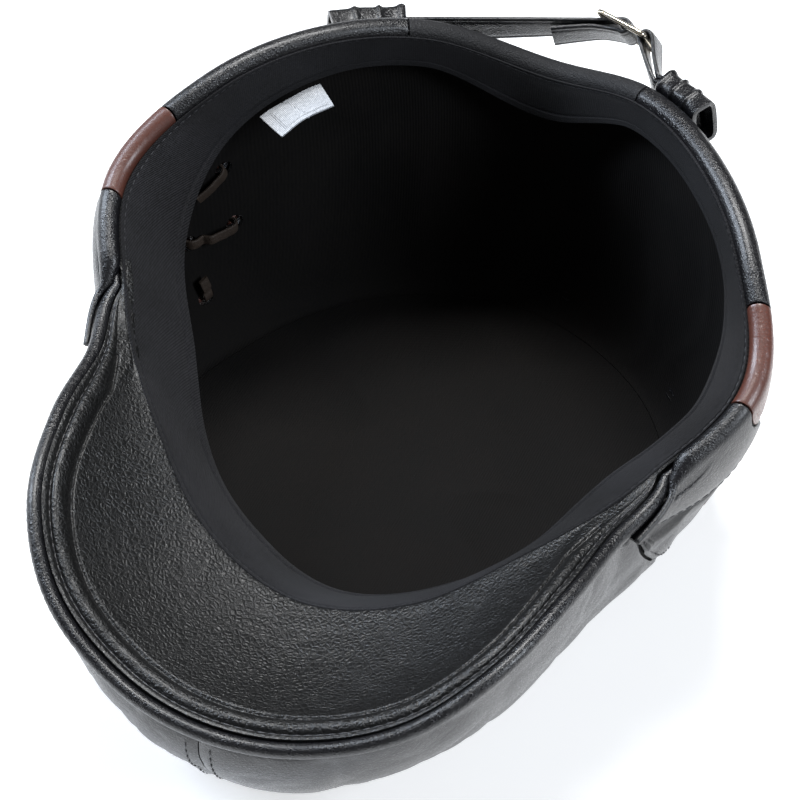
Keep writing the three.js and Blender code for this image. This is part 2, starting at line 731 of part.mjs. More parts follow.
// Strap loops: flat leather sleeves outside the rim, with ribs at their ends and middle.
// A place in a loop is given from its middle line, out from the cap and up along the wall.
function inLoop(angle, out, up) {
  const level = levelAtDepth(angle, LOOPS[onSide(angle)].drop);
  const [onLeather, away] = [0, -1].map((inset) => wallPath(angle, [level], inset, 0)[0]);
  const outward = away.sub(onLeather);
  const upward = new THREE.Vector2(-outward.y, outward.x);
  const point = onLeather.addScaledVector(outward, LOOP_STAND + out).addScaledVector(upward, up);
  return place(angle, point.x, point.y);
}

function strapLoop(side) {
  const { mouth, length } = LOOPS[onSide(side)];
  const turned = degrees(length / inLoop(side * mouth, 0, 0).setZ(0).length());
  const angles = spread(mouth - turned, mouth, 6);
  const ribs = [1, 0, 0, 1, 0, 0, 1];
  const squareness = 0.2;
  const rounded = (value) => Math.sign(value) * Math.abs(value) ** squareness;
  const section = (angle, grow) => range(8).map((i) => {
    const turn = ((i + 0.5) / 8) * 2 * Math.PI;
    return inLoop(
      side * angle,
      (LOOP_PASSAGE_DEPTH / 2 + grow) * rounded(Math.cos(turn)),
      (LOOP_PASSAGE_HEIGHT / 2 + grow) * rounded(Math.sin(turn)),
    );
  });
  const outer = angles.map((angle, i) => section(angle, LEATHER + LOOP_RIB * ribs[i]));
  const inner = angles.map((angle) => section(angle, 0));
  return sheet(outer, inner, { tube: true });
}

// A flat ribbon along a route of points, each with the direction of the ribbon's width
function ribbon(route, width, thickness) {
  const rings = route.map((stop, i) => {
    const before = route[Math.max(i - 1, 0)].point;
    const after = route[Math.min(i + 1, route.length - 1)].point;
    const along = new THREE.Vector3().subVectors(after, before).normalize();
    const across = stop.across.clone().addScaledVector(along, -stop.across.dot(along)).normalize();
    const up = new THREE.Vector3().crossVectors(along, across);
    return [[1, 1], [-1, 1], [-1, -1], [1, -1]].map(([a, b]) => stop.point.clone()
      .addScaledVector(across, a * width / 2)
      .addScaledVector(up, b * thickness / 2));
  });
  return loft(rings);
}

// Smooths a route through its stops
function smoothRoute(stops, steps) {
  const curve = new THREE.CatmullRomCurve3(stops.map((stop) => stop.point), false, 'centripetal');
  return range(steps + 1).map((i) => {
    const t = i / steps;
    const at = t * (stops.length - 1);
    const k = Math.min(Math.floor(at), stops.length - 2);
    return {
      point: curve.getPoint(t),
      across: stops[k].across.clone().lerp(stops[k + 1].across, at - k),
    };
  });
}

// Buckle: a flat slide buckle whose bars stand across the strap, leaning in over the opening
const loopMouth = inLoop(LOOPS.R.mouth, 0, 0);
const buckleMiddle = place(
  BUCKLE_ANGLE,
  Math.hypot(loopMouth.x, loopMouth.y) + BUCKLE_STAND,
  loopMouth.z + BUCKLE_LIFT,
);
const buckleAlong = new THREE.Vector3(Math.cos(radians(BUCKLE_TURN)), Math.sin(radians(BUCKLE_TURN)), 0);
const buckleAcross = new THREE.Vector3(0, 0, 1).applyAxisAngle(buckleAlong, radians(BUCKLE_LEAN));
const buckleFace = new THREE.Vector3().crossVectors(buckleAlong, buckleAcross);
const buckleWidth = STRAP_WIDTH + 2 * STRAP_CLEARANCE + 2 * BUCKLE_WIRE_RADIUS;

function inBuckle(along, across, face) {
  return buckleMiddle.clone()
    .addScaledVector(buckleAlong, along)
    .addScaledVector(buckleAcross, across)
    .addScaledVector(buckleFace, face);
}

function buckle() {
  const half = buckleWidth / 2;
  const frame = (low, high) => {
    const corner = 1.6 * BUCKLE_WIRE_RADIUS;
    const rings = [];
    const corners = [[high, half], [low, half], [low, -half], [high, -half]];
    corners.forEach(([along, across], i) => {
      const inAlong = along - Math.sign(along - (low + high) / 2) * corner;
      const inAcross = across - Math.sign(across) * corner;
      for (const step of range(4)) {
        const turn = (i + step / 3) * Math.PI / 2;
        const out = new THREE.Vector2(Math.cos(turn), Math.sin(turn));
        rings.push(range(6).map((k) => {
          const roll = (k / 6) * 2 * Math.PI;
          const reach = corner + BUCKLE_WIRE_RADIUS * Math.cos(roll);
          return inBuckle(inAlong + reach * out.x, inAcross + reach * out.y, BUCKLE_WIRE_RADIUS * Math.sin(roll));
        }));
      }
    });
    return toSolid(loft(rings, true));
  };
  const bar = [-half, half].map((across) => range(6).map((k) => {
    const roll = (k / 6) * 2 * Math.PI;
    return inBuckle(BUCKLE_WIRE_RADIUS * Math.cos(roll), across, BUCKLE_WIRE_RADIUS * Math.sin(roll));
  }));
  return fromSolid(frame(-BUCKLE_PITCH, BUCKLE_PITCH).add(toSolid(loft(bar))));
}

// A turn of strap round a buckle bar, in the buckle's own along and face directions
const wrapRadius = BUCKLE_WIRE_RADIUS + SEAM_GAP + STRAP_THICKNESS / 2;
const layerStep = STRAP_THICKNESS + SEAM_GAP;
const onBar = (barAlong, turn, radius) => ({
  point: inBuckle(barAlong + radius * Math.cos(radians(turn)), 0, radius * Math.sin(radians(turn))),
  across: buckleAcross,
});
const wrap = (barAlong, fromTurn, toTurn, radius, steps) => (
  spread(fromTurn, toTurn, steps).map((turn) => onBar(barAlong, turn, radius))
);

// The corner of a strap that comes to a bar at one turn and leaves it at another
const cornerAt = (barAlong, comes, leaves, radius) => (
  onBar(barAlong, (comes + leaves) / 2, radius / Math.cos(radians((comes - leaves) / 2)))
);

// A stop of a strap inside a loop
const loopStop = (angle, out) => ({
  point: inLoop(angle, out, 0),
  across: inLoop(angle, 0, 1).sub(inLoop(angle, 0, 0)),
});

// The turn, in the buckle's own directions, that a line from one of its bars to a point makes
function turnTowards(point, barAlong) {
  const away = point.clone().sub(inBuckle(barAlong, 0, 0));
  return degrees(Math.atan2(away.dot(buckleFace), away.dot(buckleAlong)));
}

// The strap runs over the first bar, round the middle one, and back over the first as its tail
function strap() {
  const mouthAngle = -LOOPS.L.mouth;
  const mouth = loopStop(mouthAngle, 0);
  const arrive = turnTowards(mouth.point, -BUCKLE_PITCH) - 90;
  const crossing = degrees(Math.asin(2 * wrapRadius / BUCKLE_PITCH));
  const leaving = 90 + degrees(Math.asin(layerStep / BUCKLE_PITCH));
  const overFirst = cornerAt(-BUCKLE_PITCH, arrive, 90 - crossing, wrapRadius);
  const between = (share) => ({
    point: mouth.point.clone().lerp(overFirst.point, share),
    across: mouth.across.clone().lerp(buckleAcross, share),
  });
  const inside = loopStop(mouthAngle + 8, 0);
  const halfway = loopStop(mouthAngle + 4, 0);
  const free = smoothRoute([inside, halfway, mouth, between(0.3), between(0.65), overFirst], 15);
  const roundMiddle = wrap(0, 270 - crossing, 360 + leaving, wrapRadius, 8);
  const backOver = cornerAt(-BUCKLE_PITCH, leaving, arrive, wrapRadius + layerStep);
  const along = mouth.point.clone().sub(overFirst.point).normalize();
  const tail = [0.5, 1].map((share) => ({
    point: backOver.point.clone()
      .addScaledVector(along, share * STRAP_TAIL)
      .addScaledVector(buckleFace, share * share),
    across: buckleAcross.clone().lerp(mouth.across, 0.3 * share),
  }));
  return ribbon([...free, ...roundMiddle, backOver, ...tail], STRAP_WIDTH, STRAP_THICKNESS);
}

// The short strap is doubled round the buckle's last bar and runs into the other loop
function strapAnchor() {
  const towards = turnTowards(loopMouth, BUCKLE_PITCH);
  const round = wrap(BUCKLE_PITCH, towards + 90, towards + 270, wrapRadius, 7);
  const leg = (out, last) => smoothRoute([
    loopStop(LOOPS.R.mouth - 8, out),
    loopStop(LOOPS.R.mouth - 4, out),
    loopStop(LOOPS.R.mouth, out),
    loopStop(LOOPS.R.mouth + 1.6, out),
    last,
  ], 8);
  const near = leg(-layerStep / 2, round[0]);
  const far = leg(layerStep / 2, round.at(-1)).reverse();
  return ribbon([...near, ...round.slice(1, -1), ...far], STRAP_WIDTH, STRAP_THICKNESS);
}

// Lace: a tail under the sweatband, out through the first hole, in through the second and so on
function lace(side) {
  const holes = LACE_HOLES.map((row) => laceHole(side, row));
  const insideFace = LEATHER + BAND_GAP + LINING_CLOTH;
  const outsideFace = BAND_GAP + LEATHER;
  const clear = (outward) => 2 * SEAM_GAP + LACE_THICKNESS / 2 + (outward ? 0 : LACE_SLACK);
  const holeFlat = LACE_HOLE_RADIUS * Math.cos(Math.PI / LACE_HOLE_SIDES);
  const halfChord = Math.sqrt(holeFlat ** 2 - (LACE_WIDTH / 2) ** 2);
  const stops = [];

  // Where the lace lies in a hole: against the edge on the side it comes from
  const turnIn = (hole, towards, outward) => {
    const from = towards.clone().addScaledVector(hole.out, -towards.dot(hole.out)).normalize();
    const across = new THREE.Vector3().crossVectors(from, hole.out).normalize();
    const at = (sideways, out) => hole.middle.clone()
      .addScaledVector(from, sideways)
      .addScaledVector(hole.out, out);
    const edge = halfChord;
    const bend = clear(outward);
    const face = outward ? outsideFace : -insideFace;
    const sign = outward ? 1 : -1;
    const turns = [90, 45, 0].map((angle) => ({
      point: at(edge - bend * Math.cos(radians(angle)), face + sign * bend * Math.sin(radians(angle))),
      across,
    }));
    return [{ point: at(edge + 2.4, face + sign * bend), across }, ...turns];
  };

  const run = (from, to, outward) => {
    const towards = new THREE.Vector3().subVectors(to.middle, from.middle);
    const leave = turnIn(from, towards, outward).reverse();
    const arrive = turnIn(to, towards.clone().negate(), outward);
    const face = outward ? outsideFace + clear(true) : -insideFace - clear(false);
    const arch = outward ? LACE_ARCH : -1;
    const between = [0.35, 0.5, 0.65].map((share) => {
      const angle = lerp(from.angle, to.angle, share);
      const depth = lerp(from.depth, to.depth, share);
      const lift = face + arch * 4 * share * (1 - share);
      return { point: onWall(angle, depth, lift), across: leave[0].across.clone() };
    });
    return [...leave, ...between, ...arrive];
  };

  const tailFrom = { ...holes[0] };
  tailFrom.depth = holes[0].depth - 2 * LACE_HOLE_RADIUS + LACE_HOLE_RADIUS * 3;
  tailFrom.angle = side * (patchAngle(tailFrom.depth) - 0.75 * patchSpread(tailFrom.depth));
  tailFrom.middle = onWall(tailFrom.angle, tailFrom.depth, 0);
  const firstRun = run(tailFrom, holes[0], false).slice(4);
  const tailTo = { ...holes[1] };
  tailTo.depth = holes[1].depth + 3 * LACE_HOLE_RADIUS;
  tailTo.middle = onWall(tailTo.angle, tailTo.depth, 0);
  const lastRun = run(holes[3], tailTo, false).slice(0, -4);
  const runs = [
    firstRun,
    run(holes[0], holes[1], true),
    run(holes[1], holes[2], false),
    run(holes[2], holes[3], true),
    lastRun,
  ];
  runs.forEach((route) => stops.push(...route));
  let across = null;
  for (const stop of stops) {
    if (across && across.dot(stop.across) < 0) stop.across = stop.across.clone().negate();
    across = stop.across;
  }
  return ribbon(stops, LACE_WIDTH, LACE_THICKNESS);
}

// Materials
const material = (color, roughness, metalness = 0) => new THREE.MeshStandardMaterial({ color, roughness, metalness });
const blackLeather = material(0x24242a, 0.38);
const brownLeather = material(0x6e4536, 0.35);
const liningCloth = material(0x14120f, 0.9);
const sweatbandCloth = material(0x2e2e32, 0.95);
const labelCloth = material(0xe4e6ea, 0.8);
const laceLeather = material(0x3a302a, 0.6);
const paleMetal = material(0xcbbf9f, 0.3, 1);

const cap = new THREE.Group();

function add(name, geometry, finish) {
  const mesh = new THREE.Mesh(geometry, finish);
  mesh.name = name;
  cap.add(mesh);
}

add('crown_top', crownTop(), blackLeather);
add('lining', liningPanel(-LINING_SEAM_ANGLE, LINING_SEAM_ANGLE, []), liningCloth);
add('lining_back_left', liningPanel(-180, -LINING_SEAM_ANGLE, [-1]), liningCloth);
add('lining_back_right', liningPanel(LINING_SEAM_ANGLE, 180, [1]), liningCloth);
add('lining_top', liningTop(), liningCloth);
add('sweatband', sweatband(), sweatbandCloth);
add('size_label', sizeLabel(), labelCloth);
add('brim', brim(), blackLeather);
add('brim_piping', brimPiping(), blackLeather);
add('back_binding', backBinding(), blackLeather);
for (const [word, side] of [['left', -1], ['right', 1]]) {
  add(`crown_wall_${word}`, crownWall(side), blackLeather);
  add(`crown_side_${word}`, crownSide(side), blackLeather);
  add(`rim_band_front_${word}`, rimBandFront(side), blackLeather);
  add(`rim_band_back_${word}`, rimBandBack(side), blackLeather);
  add(`side_patch_${word}`, sidePatch(side), brownLeather);
  add(`lace_${word}`, lace(side), laceLeather);
  add(`strap_loop_${word}`, strapLoop(side), blackLeather);
}
add('strap', strap(), blackLeather);
add('strap_anchor', strapAnchor(), blackLeather);
add('buckle', buckle(), paleMetal);

// The origin is under the middle of the whole cap, on the table
const box = new THREE.Box3().setFromObject(cap);
const middle = box.getCenter(new THREE.Vector3());
cap.position.set(-middle.x, -middle.y, -box.min.z);
cap.updateMatrixWorld(true);

export default cap;
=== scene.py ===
# %% [markdown]
# # A leather newsboy cap
# The cap lies upside down on its crown, so that the camera looks down into the head opening.
# Nearly every piece is a sheet of leather or cloth that runs round one upright line, so the lesson
# first writes down that shared form and then lays each sheet on it.

# %% The frame
import math

import bmesh
import bpy
import numpy as np
from mathutils import Matrix, Vector, noise


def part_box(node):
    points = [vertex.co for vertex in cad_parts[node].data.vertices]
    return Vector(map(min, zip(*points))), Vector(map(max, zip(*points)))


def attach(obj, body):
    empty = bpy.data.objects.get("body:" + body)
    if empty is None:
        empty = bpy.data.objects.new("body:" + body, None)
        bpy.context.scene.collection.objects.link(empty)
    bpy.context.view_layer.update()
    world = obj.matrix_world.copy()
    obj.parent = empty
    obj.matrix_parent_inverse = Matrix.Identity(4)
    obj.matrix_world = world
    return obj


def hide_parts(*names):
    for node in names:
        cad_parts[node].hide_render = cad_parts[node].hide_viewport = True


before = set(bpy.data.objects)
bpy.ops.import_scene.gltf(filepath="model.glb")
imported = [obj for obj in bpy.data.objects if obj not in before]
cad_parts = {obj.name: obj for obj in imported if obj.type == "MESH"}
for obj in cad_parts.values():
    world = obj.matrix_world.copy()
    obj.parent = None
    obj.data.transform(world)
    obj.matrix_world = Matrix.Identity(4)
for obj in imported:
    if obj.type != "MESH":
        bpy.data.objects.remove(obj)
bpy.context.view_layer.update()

bpy.ops.object.select_all(action="DESELECT")

# %% [markdown]
# ## The cap's form
# A maker cuts panels flat and sews them. Here the sewn form is written down instead: how far out and
# how high the wall stands at stations round the head. The sizes are those of the frame, in
# millimetres, and each reach is a share of the head's radius.

# %% Sizes
MM = 0.001
HEAD_RADIUS = 575 / (2 * math.pi)
CROWN_DEPTH = 117
BRIM_DEPTH = 60
BAND_HEIGHT = 26
LOOP_BAND_HEIGHT = 9
LEATHER = 1.4
LINING_CLOTH = 0.9
SWEATBAND_CLOTH = 1.2
LABEL_CLOTH = 0.8
BRIM_BOARD = 3.2
PIPING_RADIUS = 2.2
SEAM_GAP = 0.3
BAND_GAP = 0.6
RIM_STACK = 3 * BAND_GAP + 2 * LEATHER + LINING_CLOTH
ROLL_ROOM = 1
BRIM_ROOM = PIPING_RADIUS + 6 * SEAM_GAP + BRIM_BOARD / 2
WING_ANGLE = 70.5

# %% Stations round the cap
# The right columns are for +X, the left ones for -X
STATIONS = {
    "angle": (0, 22.5, 45, 72, 92, 112.5, 135, 157.5, 180),
    "rim": (0.93, 0.91, 0.89, 0.95, 1.05, 0.97, 0.93, 0.96, 1.02),
    "rim_high": (0.44, 0.49, 0.61, 0.73, 0.84, 0.96, 1.0, 0.96, 0.85),
    "bulge_left": (0.94, 0.94, 1.01, 1.16, 1.26, 1.12, 1.13, 1.14, 1.17),
    "bulge_right": (0.94, 0.92, 0.92, 1.0, 1.1, 1.1, 1.09, 1.13, 1.17),
    "bulge_high": (0.22, 0.26, 0.34, 0.45, 0.47, 0.52, 0.55, 0.53, 0.49),
    "belly_left": (0.83, 0.87, 1.0, 1.15, 1.14, 1.08, 1.08, 1.11, 1.12),
    "belly_right": (0.83, 0.83, 0.84, 0.86, 0.9, 1.02, 1.06, 1.1, 1.12),
    "foot_left": (0.68, 0.72, 0.83, 0.94, 0.94, 0.9, 0.9, 0.91, 0.92),
    "foot_right": (0.68, 0.66, 0.68, 0.7, 0.72, 0.83, 0.88, 0.9, 0.92),
    "sweat_left": (0.69, 0.69, 0.71, 0.74, 0.86, 0.93, 0.93, 0.95, 1.0),
    "sweat_right": (0.69, 0.69, 0.72, 0.77, 0.92, 0.955, 0.94, 0.955, 1.0),
    "sweat_high_left": (0.25, 0.3, 0.37, 0.5, 0.67, 0.81, 0.89, 0.87, 0.72),
    "sweat_high_right": (0.25, 0.3, 0.4, 0.58, 0.72, 0.82, 0.88, 0.87, 0.72),
}
FRONT = {
    "angle": (0, 11, 22, 33, 45, 58, 70, 80),
    "brim": (1.0, 0.98, 0.93, 0.77, 0.5, 0.24, 0.13, 0.0),
    "rise": (0.25, 0.25, 0.3, 0.34, 0.25, 0.08, 0.0, 0.0),
    "bulge": (1.06, 1.03, 0.86, 0.65, 0.39, 0.13, 0.0, 0.0),
    "bulge_rise": (0.3, 0.3, 0.3, 0.27, 0.22, 0.08, 0.0, 0.0),
    "belly": (0.73, 0.67, 0.52, 0.37, 0.22, 0.08, 0.0, 0.0),
    "foot": (0.5, 0.45, 0.38, 0.28, 0.17, 0.07, 0.0, 0.0),
}
FOLDS = {
    "angle": (-79, -100, -66, -128, -158, 176, 146, 84, 58),
    "level": (0.24, 0.45, 0.5, 0.5, 0.55, 0.6, 0.45, 0.42, 0.5),
    "depth": (0.03, 0.012, 0.026, 0.022, 0.02, 0.02, 0.022, 0.018, 0.016),
    "wide": (12, 10, 9, 9, 10, 11, 9, 13, 12),
    "high": (0.22, 0.3, 0.2, 0.25, 0.22, 0.2, 0.25, 0.12, 0.14),
}
TOP_SEAM = {"angle": (62, 72, 86, 104, 180), "level": (0.0, 0.32, 0.62, 0.74, 0.76)}
PATCH_LINE = {"depth": (0.0, 0.06, 0.3, 0.55, 0.85), "angle": (96, 97, 109, 111.5, 113)}


# %% Reading the tables
def read(table, column, at, key="angle"):
    """A column of a table at any place, smooth between its rows and level at both ends."""
    keys = np.array(table[key], float)
    values = np.array(table[column], float)
    slopes = np.zeros(len(keys))
    slopes[1:-1] = (values[2:] - values[:-2]) / (keys[2:] - keys[:-2])
    at = np.clip(at, keys[0], keys[-1])
    row = np.clip(np.searchsorted(keys, at, side="right") - 1, 0, len(keys) - 2)
    width = keys[row + 1] - keys[row]
    share = (at - keys[row]) / width
    rise = share * share * (3 - 2 * share)
    bend = (1 - share) * slopes[row] - share * slopes[row + 1]
    return values[row] + (values[row + 1] - values[row]) * rise + width * share * (1 - share) * bend


def smoothstep(value, low, high):
    share = np.clip((value - low) / (high - low), 0, 1)
    return share * share * (3 - 2 * share)


def lerp(start, end, share):
    return start + (end - start) * share


def bell(value, middle, wide):
    return np.exp(-(((value - middle) / wide) ** 2))


def signed(angle):
    return np.mod(angle + 180, 360) - 180


def from_front(angle):
    return np.abs(signed(angle))


def of_side(name, angle):
    """A column of the stations that differs between left and right."""
    turn = from_front(angle)
    left, right = read(STATIONS, name + "_left", turn), read(STATIONS, name + "_right", turn)
    return np.where(signed(angle) < 0, left, right)


def rim_reach(angle):
    return HEAD_RADIUS * read(STATIONS, "rim", from_front(angle))


def rim_height(angle):
    return CROWN_DEPTH * read(STATIONS, "rim_high", from_front(angle))


def front(angle, column):
    return BRIM_DEPTH * read(FRONT, column, from_front(angle))


# %% The wall under the rim
# One curve goes down from the rim through a bulge and a belly to the foot, where the crown's flat
# top begins. Level 0 is its top edge and level 1 its foot.
def fold_depth(angle, level):
    depth = 0
    for at, down, deep, wide, high in zip(*FOLDS.values()):
        apart = from_front(angle - at) / wide
        below = (level - down) / high
        depth = depth + CROWN_DEPTH * deep * np.exp(-apart * apart - below * below)
    return depth * smoothstep(1 - level, 0, 0.2) * smoothstep(level, 0, 0.12)


def wall(angle, level, out_front):
    """Reach and height of the crown's outer face. out_front is 1 for the crown, 0 for the lining."""
    angle, level = np.broadcast_arrays(np.asarray(angle, float), np.asarray(level, float))
    turn = from_front(angle)

    def reach_of(name):
        return HEAD_RADIUS * of_side(name, angle) + out_front * front(angle, name)

    lip = out_front * smoothstep(-turn, -WING_ANGLE, -WING_ANGLE + 12)
    drop = lerp(BRIM_ROOM, ROLL_ROOM, smoothstep(turn, WING_ANGLE + 5, WING_ANGLE + 12))
    top = rim_reach(angle) + np.maximum(lip * front(angle, "brim") - PIPING_RADIUS, RIM_STACK)
    top_height = rim_height(angle) - drop + lip * front(angle, "rise")
    bulge_height = CROWN_DEPTH * read(STATIONS, "bulge_high", turn) + out_front * front(angle, "bulge_rise")
    up = 1 - level
    reach = up**3 * top + 3 * up * up * level * reach_of("bulge")
    reach = reach + 3 * up * level * level * reach_of("belly") + level**3 * reach_of("foot")
    height = up**3 * top_height + 3 * up * up * level * bulge_height
    return reach - fold_depth(angle, level), height


def beside_wall(angle, level, inset, out_front):
    """The wall's reach and height, moved in by inset across its own surface."""
    nudge = 0.004
    reach, height = wall(angle, level, out_front)
    above = wall(angle, np.maximum(level - nudge, 0), out_front)
    below = wall(angle, np.minimum(level + nudge, 1), out_front)
    along_reach = below[0] - above[0]
    along_height = below[1] - above[1]
    length = np.hypot(along_reach, along_height)
    out_reach = -along_height / length
    out_height = along_reach / length
    return reach - inset * out_reach, height - inset * out_height


def level_at_depth(angle, depth, out_front=0):
    """The level at which the wall lies so far below its rim."""
    target = rim_height(angle) - depth
    low = np.zeros(np.broadcast(angle, depth).shape)
    high = np.ones(low.shape)
    for _ in range(24):
        middle = (low + high) / 2
        above = wall(angle, middle, out_front)[1] > target
        low = np.where(above, middle, low)
        high = np.where(above, high, middle)
    return (low + high) / 2


# %% [markdown]
# The frame's box gives the centre line back: the sweatband is even to both sides, and its back edge
# stands at the last station of the rim. So a piece made here lands where the frame has it.

# %% The centre line
sweat_low, sweat_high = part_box("sweatband")
CENTRE_X = (sweat_low.x + sweat_high.x) / 2 / MM
CENTRE_Y = sweat_high.y / MM - HEAD_RADIUS * STATIONS["rim"][-1]
print("centre line", round(CENTRE_X, 3), round(CENTRE_Y, 3), "mm")


def place(angle, reach, height):
    """Points in metres from angles, reaches and heights."""
    turn = np.radians(angle)
    x = reach * np.sin(turn) + CENTRE_X
    y = -reach * np.cos(turn) + CENTRE_Y
    z = height + 0 * x
    return np.stack(np.broadcast_arrays(x, y, z), axis=-1) * MM


# %% [markdown]
# ## Tools of the bench
# Every sheet starts as a grid primitive. Its points are moved on to the cap's form, doubles are
# merged where it closes on itself, and Solidify gives the leather or cloth its thickness. Working
# from a grid keeps the faces in even rows, which bends and creases need.

# %% Sheets from a grid
def pick(piece):
    bpy.ops.object.select_all(action="DESELECT")
    piece.select_set(True)
    bpy.context.view_layer.objects.active = piece


def grid_piece(name, columns, rows, surface):
    """A grid whose points are moved to surface(u, v), which gives points in metres."""
    bpy.ops.object.select_all(action="DESELECT")
    bpy.ops.mesh.primitive_grid_add(x_subdivisions=columns, y_subdivisions=rows, size=1)
    piece = bpy.context.object
    piece.name = name
    piece.data.name = name
    points = np.empty(len(piece.data.vertices) * 3)
    piece.data.vertices.foreach_get("co", points)
    points = points.reshape(-1, 3)
    moved = surface(points[:, 0] + 0.5, points[:, 1] + 0.5)
    piece.data.vertices.foreach_set("co", np.ascontiguousarray(moved, dtype=np.float32).ravel())
    piece.data.update()
    return piece


def modify(piece, kind, **settings):
    """Adds a modifier, sets it and applies it."""
    pick(piece)
    modifier = piece.modifiers.new(kind, kind)
    for key, value in settings.items():
        setattr(modifier, key, value)
    bpy.ops.object.modifier_apply(modifier=modifier.name)


def merge(piece, close=False):
    """Merges points that coincide, and closes the open ends where asked."""
    mesh = bmesh.new()
    mesh.from_mesh(piece.data)
    bmesh.ops.remove_doubles(mesh, verts=mesh.verts, dist=0.000002)
    if close:
        open_edges = [edge for edge in mesh.edges if edge.is_boundary]
        bmesh.ops.holes_fill(mesh, edges=open_edges, sides=0)
        bmesh.ops.recalc_face_normals(mesh, faces=mesh.faces)
    mesh.to_mesh(piece.data)
    mesh.free()


def thicken(piece, thickness, offset=-1.0, edge=0.25):
    """Gives a sheet its thickness in millimetres, with softened edges."""
    modify(piece, "SOLIDIFY", thickness=thickness * MM, offset=offset, use_even_offset=False)
    if edge:
        modify(piece, "BEVEL", width=edge * MM, segments=2, limit_method="ANGLE", angle_limit=math.radians(55))


def finish(piece, nodes, material, angle=40):
    """Shades a piece, gives it its material and ties it to the frame."""
    pick(piece)
    bpy.ops.object.shade_smooth_by_angle(angle=math.radians(angle))
    piece.data.materials.clear()
    piece.data.materials.append(material)
    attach(piece, "root")
    if nodes:
        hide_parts(*nodes)
    print(piece.name, len(piece.data.polygons), "faces")
    return piece


# %% [markdown]
# Leather that has been worn settles into soft hollows with sharper creases between them. Folded
# noise gives both: where the noise crosses zero lies a crease, and between them it is rounded.

# %% Creases in the form
def noise_at(points, scale, seed):
    """Smooth noise from -1 to 1 at points in metres. scale is how many waves fit in a metre."""
    shift = Vector((seed * 3.17, seed * 1.93, seed * 5.41))
    stretch = Vector(scale) if hasattr(scale, "__len__") else Vector((scale,) * 3)
    found = [noise.noise(Vector(point) * stretch + shift) for point in points.reshape(-1, 3)]
    return np.array(found)


def crease(points, scale, seed, sharp=5):
    """1 in the creases, falling to 0 on the rounded leather between them."""
    return (1 - np.minimum(np.abs(noise_at(points, scale, seed)) * 1.6, 1)) ** sharp


# %% [markdown]
# ## Finishes
# Each finish is a material made of nodes. What several finishes share, grain and woven cloth, is a
# node group with named sockets. Patterns read Object coordinates, so they don't stretch where a
# sheet bends, and only the cloth tape and the band read their own UV map, because a weave follows
# the thread.

# %% Node helpers
def new_group(name, inputs, outputs):
    group = bpy.data.node_groups.new(name, "ShaderNodeTree")
    for label, default in inputs:
        kind = "NodeSocketVector" if label == "Vector" else "NodeSocketFloat"
        socket = group.interface.new_socket(label, in_out="INPUT", socket_type=kind)
        if default is not None:
            socket.default_value = default
    for label in outputs:
        group.interface.new_socket(label, in_out="OUTPUT", socket_type="NodeSocketFloat")
    entry = group.nodes.new("NodeGroupInput")
    leave = group.nodes.new("NodeGroupOutput")
    return group, entry, leave


def node(tree, kind, settings=None, **inputs):
    """Adds a node, sets it and links or fills its inputs by name."""
    made = tree.nodes.new(kind)
    for key, value in (settings or {}).items():
        setattr(made, key, value)
    for key, value in inputs.items():
        socket = made.inputs[int(key[1:])] if key[0] == "_" else made.inputs[key.replace("_", " ")]
        if isinstance(value, bpy.types.NodeSocket):
            tree.links.new(value, socket)
        else:
            socket.default_value = value
    return made


def maths(tree, operation, first, second=0.0, clamp=False):
    made = node(tree, "ShaderNodeMath", {"operation": operation, "use_clamp": clamp}, _0=first, _1=second)
    return made.outputs[0]


def blend(tree, factor, first, second):
    made = node(tree, "ShaderNodeMix", {"data_type": "RGBA"}, _0=factor, _6=first, _7=second)
    return made.outputs[2]


def remap(tree, value, low, high, new_low, new_high):
    made = node(tree, "ShaderNodeMapRange", None, _0=value, _1=low, _2=high, _3=new_low, _4=new_high)
    return made.outputs[0]


# %% Leather grain group
# Cells of two sizes make the pebbles, and stretched noise the fine lines between them
def leather_grain():
    group, entry, leave = new_group(
        "leather grain",
        (("Vector", None), ("Size", 1.2), ("Pebble", 1.0), ("Lines", 0.5)),
        ("Height", "Hollow", "Tone"),
    )
    per_metre = maths(group, "DIVIDE", 1000.0, entry.outputs["Size"])
    warp = node(group, "ShaderNodeTexNoise", None, Vector=entry.outputs["Vector"], Scale=180.0, Detail=2.0)
    bend = node(group, "ShaderNodeVectorMath", {"operation": "SCALE"}, _0=warp.outputs["Color"], Scale=0.0009)
    moved = node(group, "ShaderNodeVectorMath", {"operation": "ADD"}, _0=entry.outputs["Vector"], _1=bend.outputs[0])
    cells = node(
        group, "ShaderNodeTexVoronoi", {"feature": "DISTANCE_TO_EDGE"}, Vector=moved.outputs[0], Scale=per_metre,
    )
    pebble = remap(group, cells.outputs["Distance"], 0.0, 0.32, 0.0, 1.0)
    half = maths(group, "MULTIPLY", per_metre, 2.3)
    small = node(group, "ShaderNodeTexVoronoi", {"feature": "DISTANCE_TO_EDGE"}, Vector=moved.outputs[0], Scale=half)
    lesser = remap(group, small.outputs["Distance"], 0.0, 0.3, 0.0, 1.0)
    lines = node(
        group, "ShaderNodeTexNoise", None, Vector=entry.outputs["Vector"], Scale=330.0, Detail=4.0, Roughness=0.65,
    )
    tone = node(group, "ShaderNodeTexNoise", None, Vector=entry.outputs["Vector"], Scale=24.0, Detail=4.0)
    pebbled = maths(group, "MULTIPLY", maths(group, "ADD", pebble, maths(group, "MULTIPLY", lesser, 0.35)),
                    entry.outputs["Pebble"])
    lined = maths(group, "MULTIPLY", lines.outputs["Fac"], entry.outputs["Lines"])
    group.links.new(maths(group, "ADD", pebbled, lined), leave.inputs["Height"])
    group.links.new(maths(group, "SUBTRACT", 1.0, pebble), leave.inputs["Hollow"])
    group.links.new(tone.outputs["Fac"], leave.inputs["Tone"])
    return group


GRAIN = leather_grain()


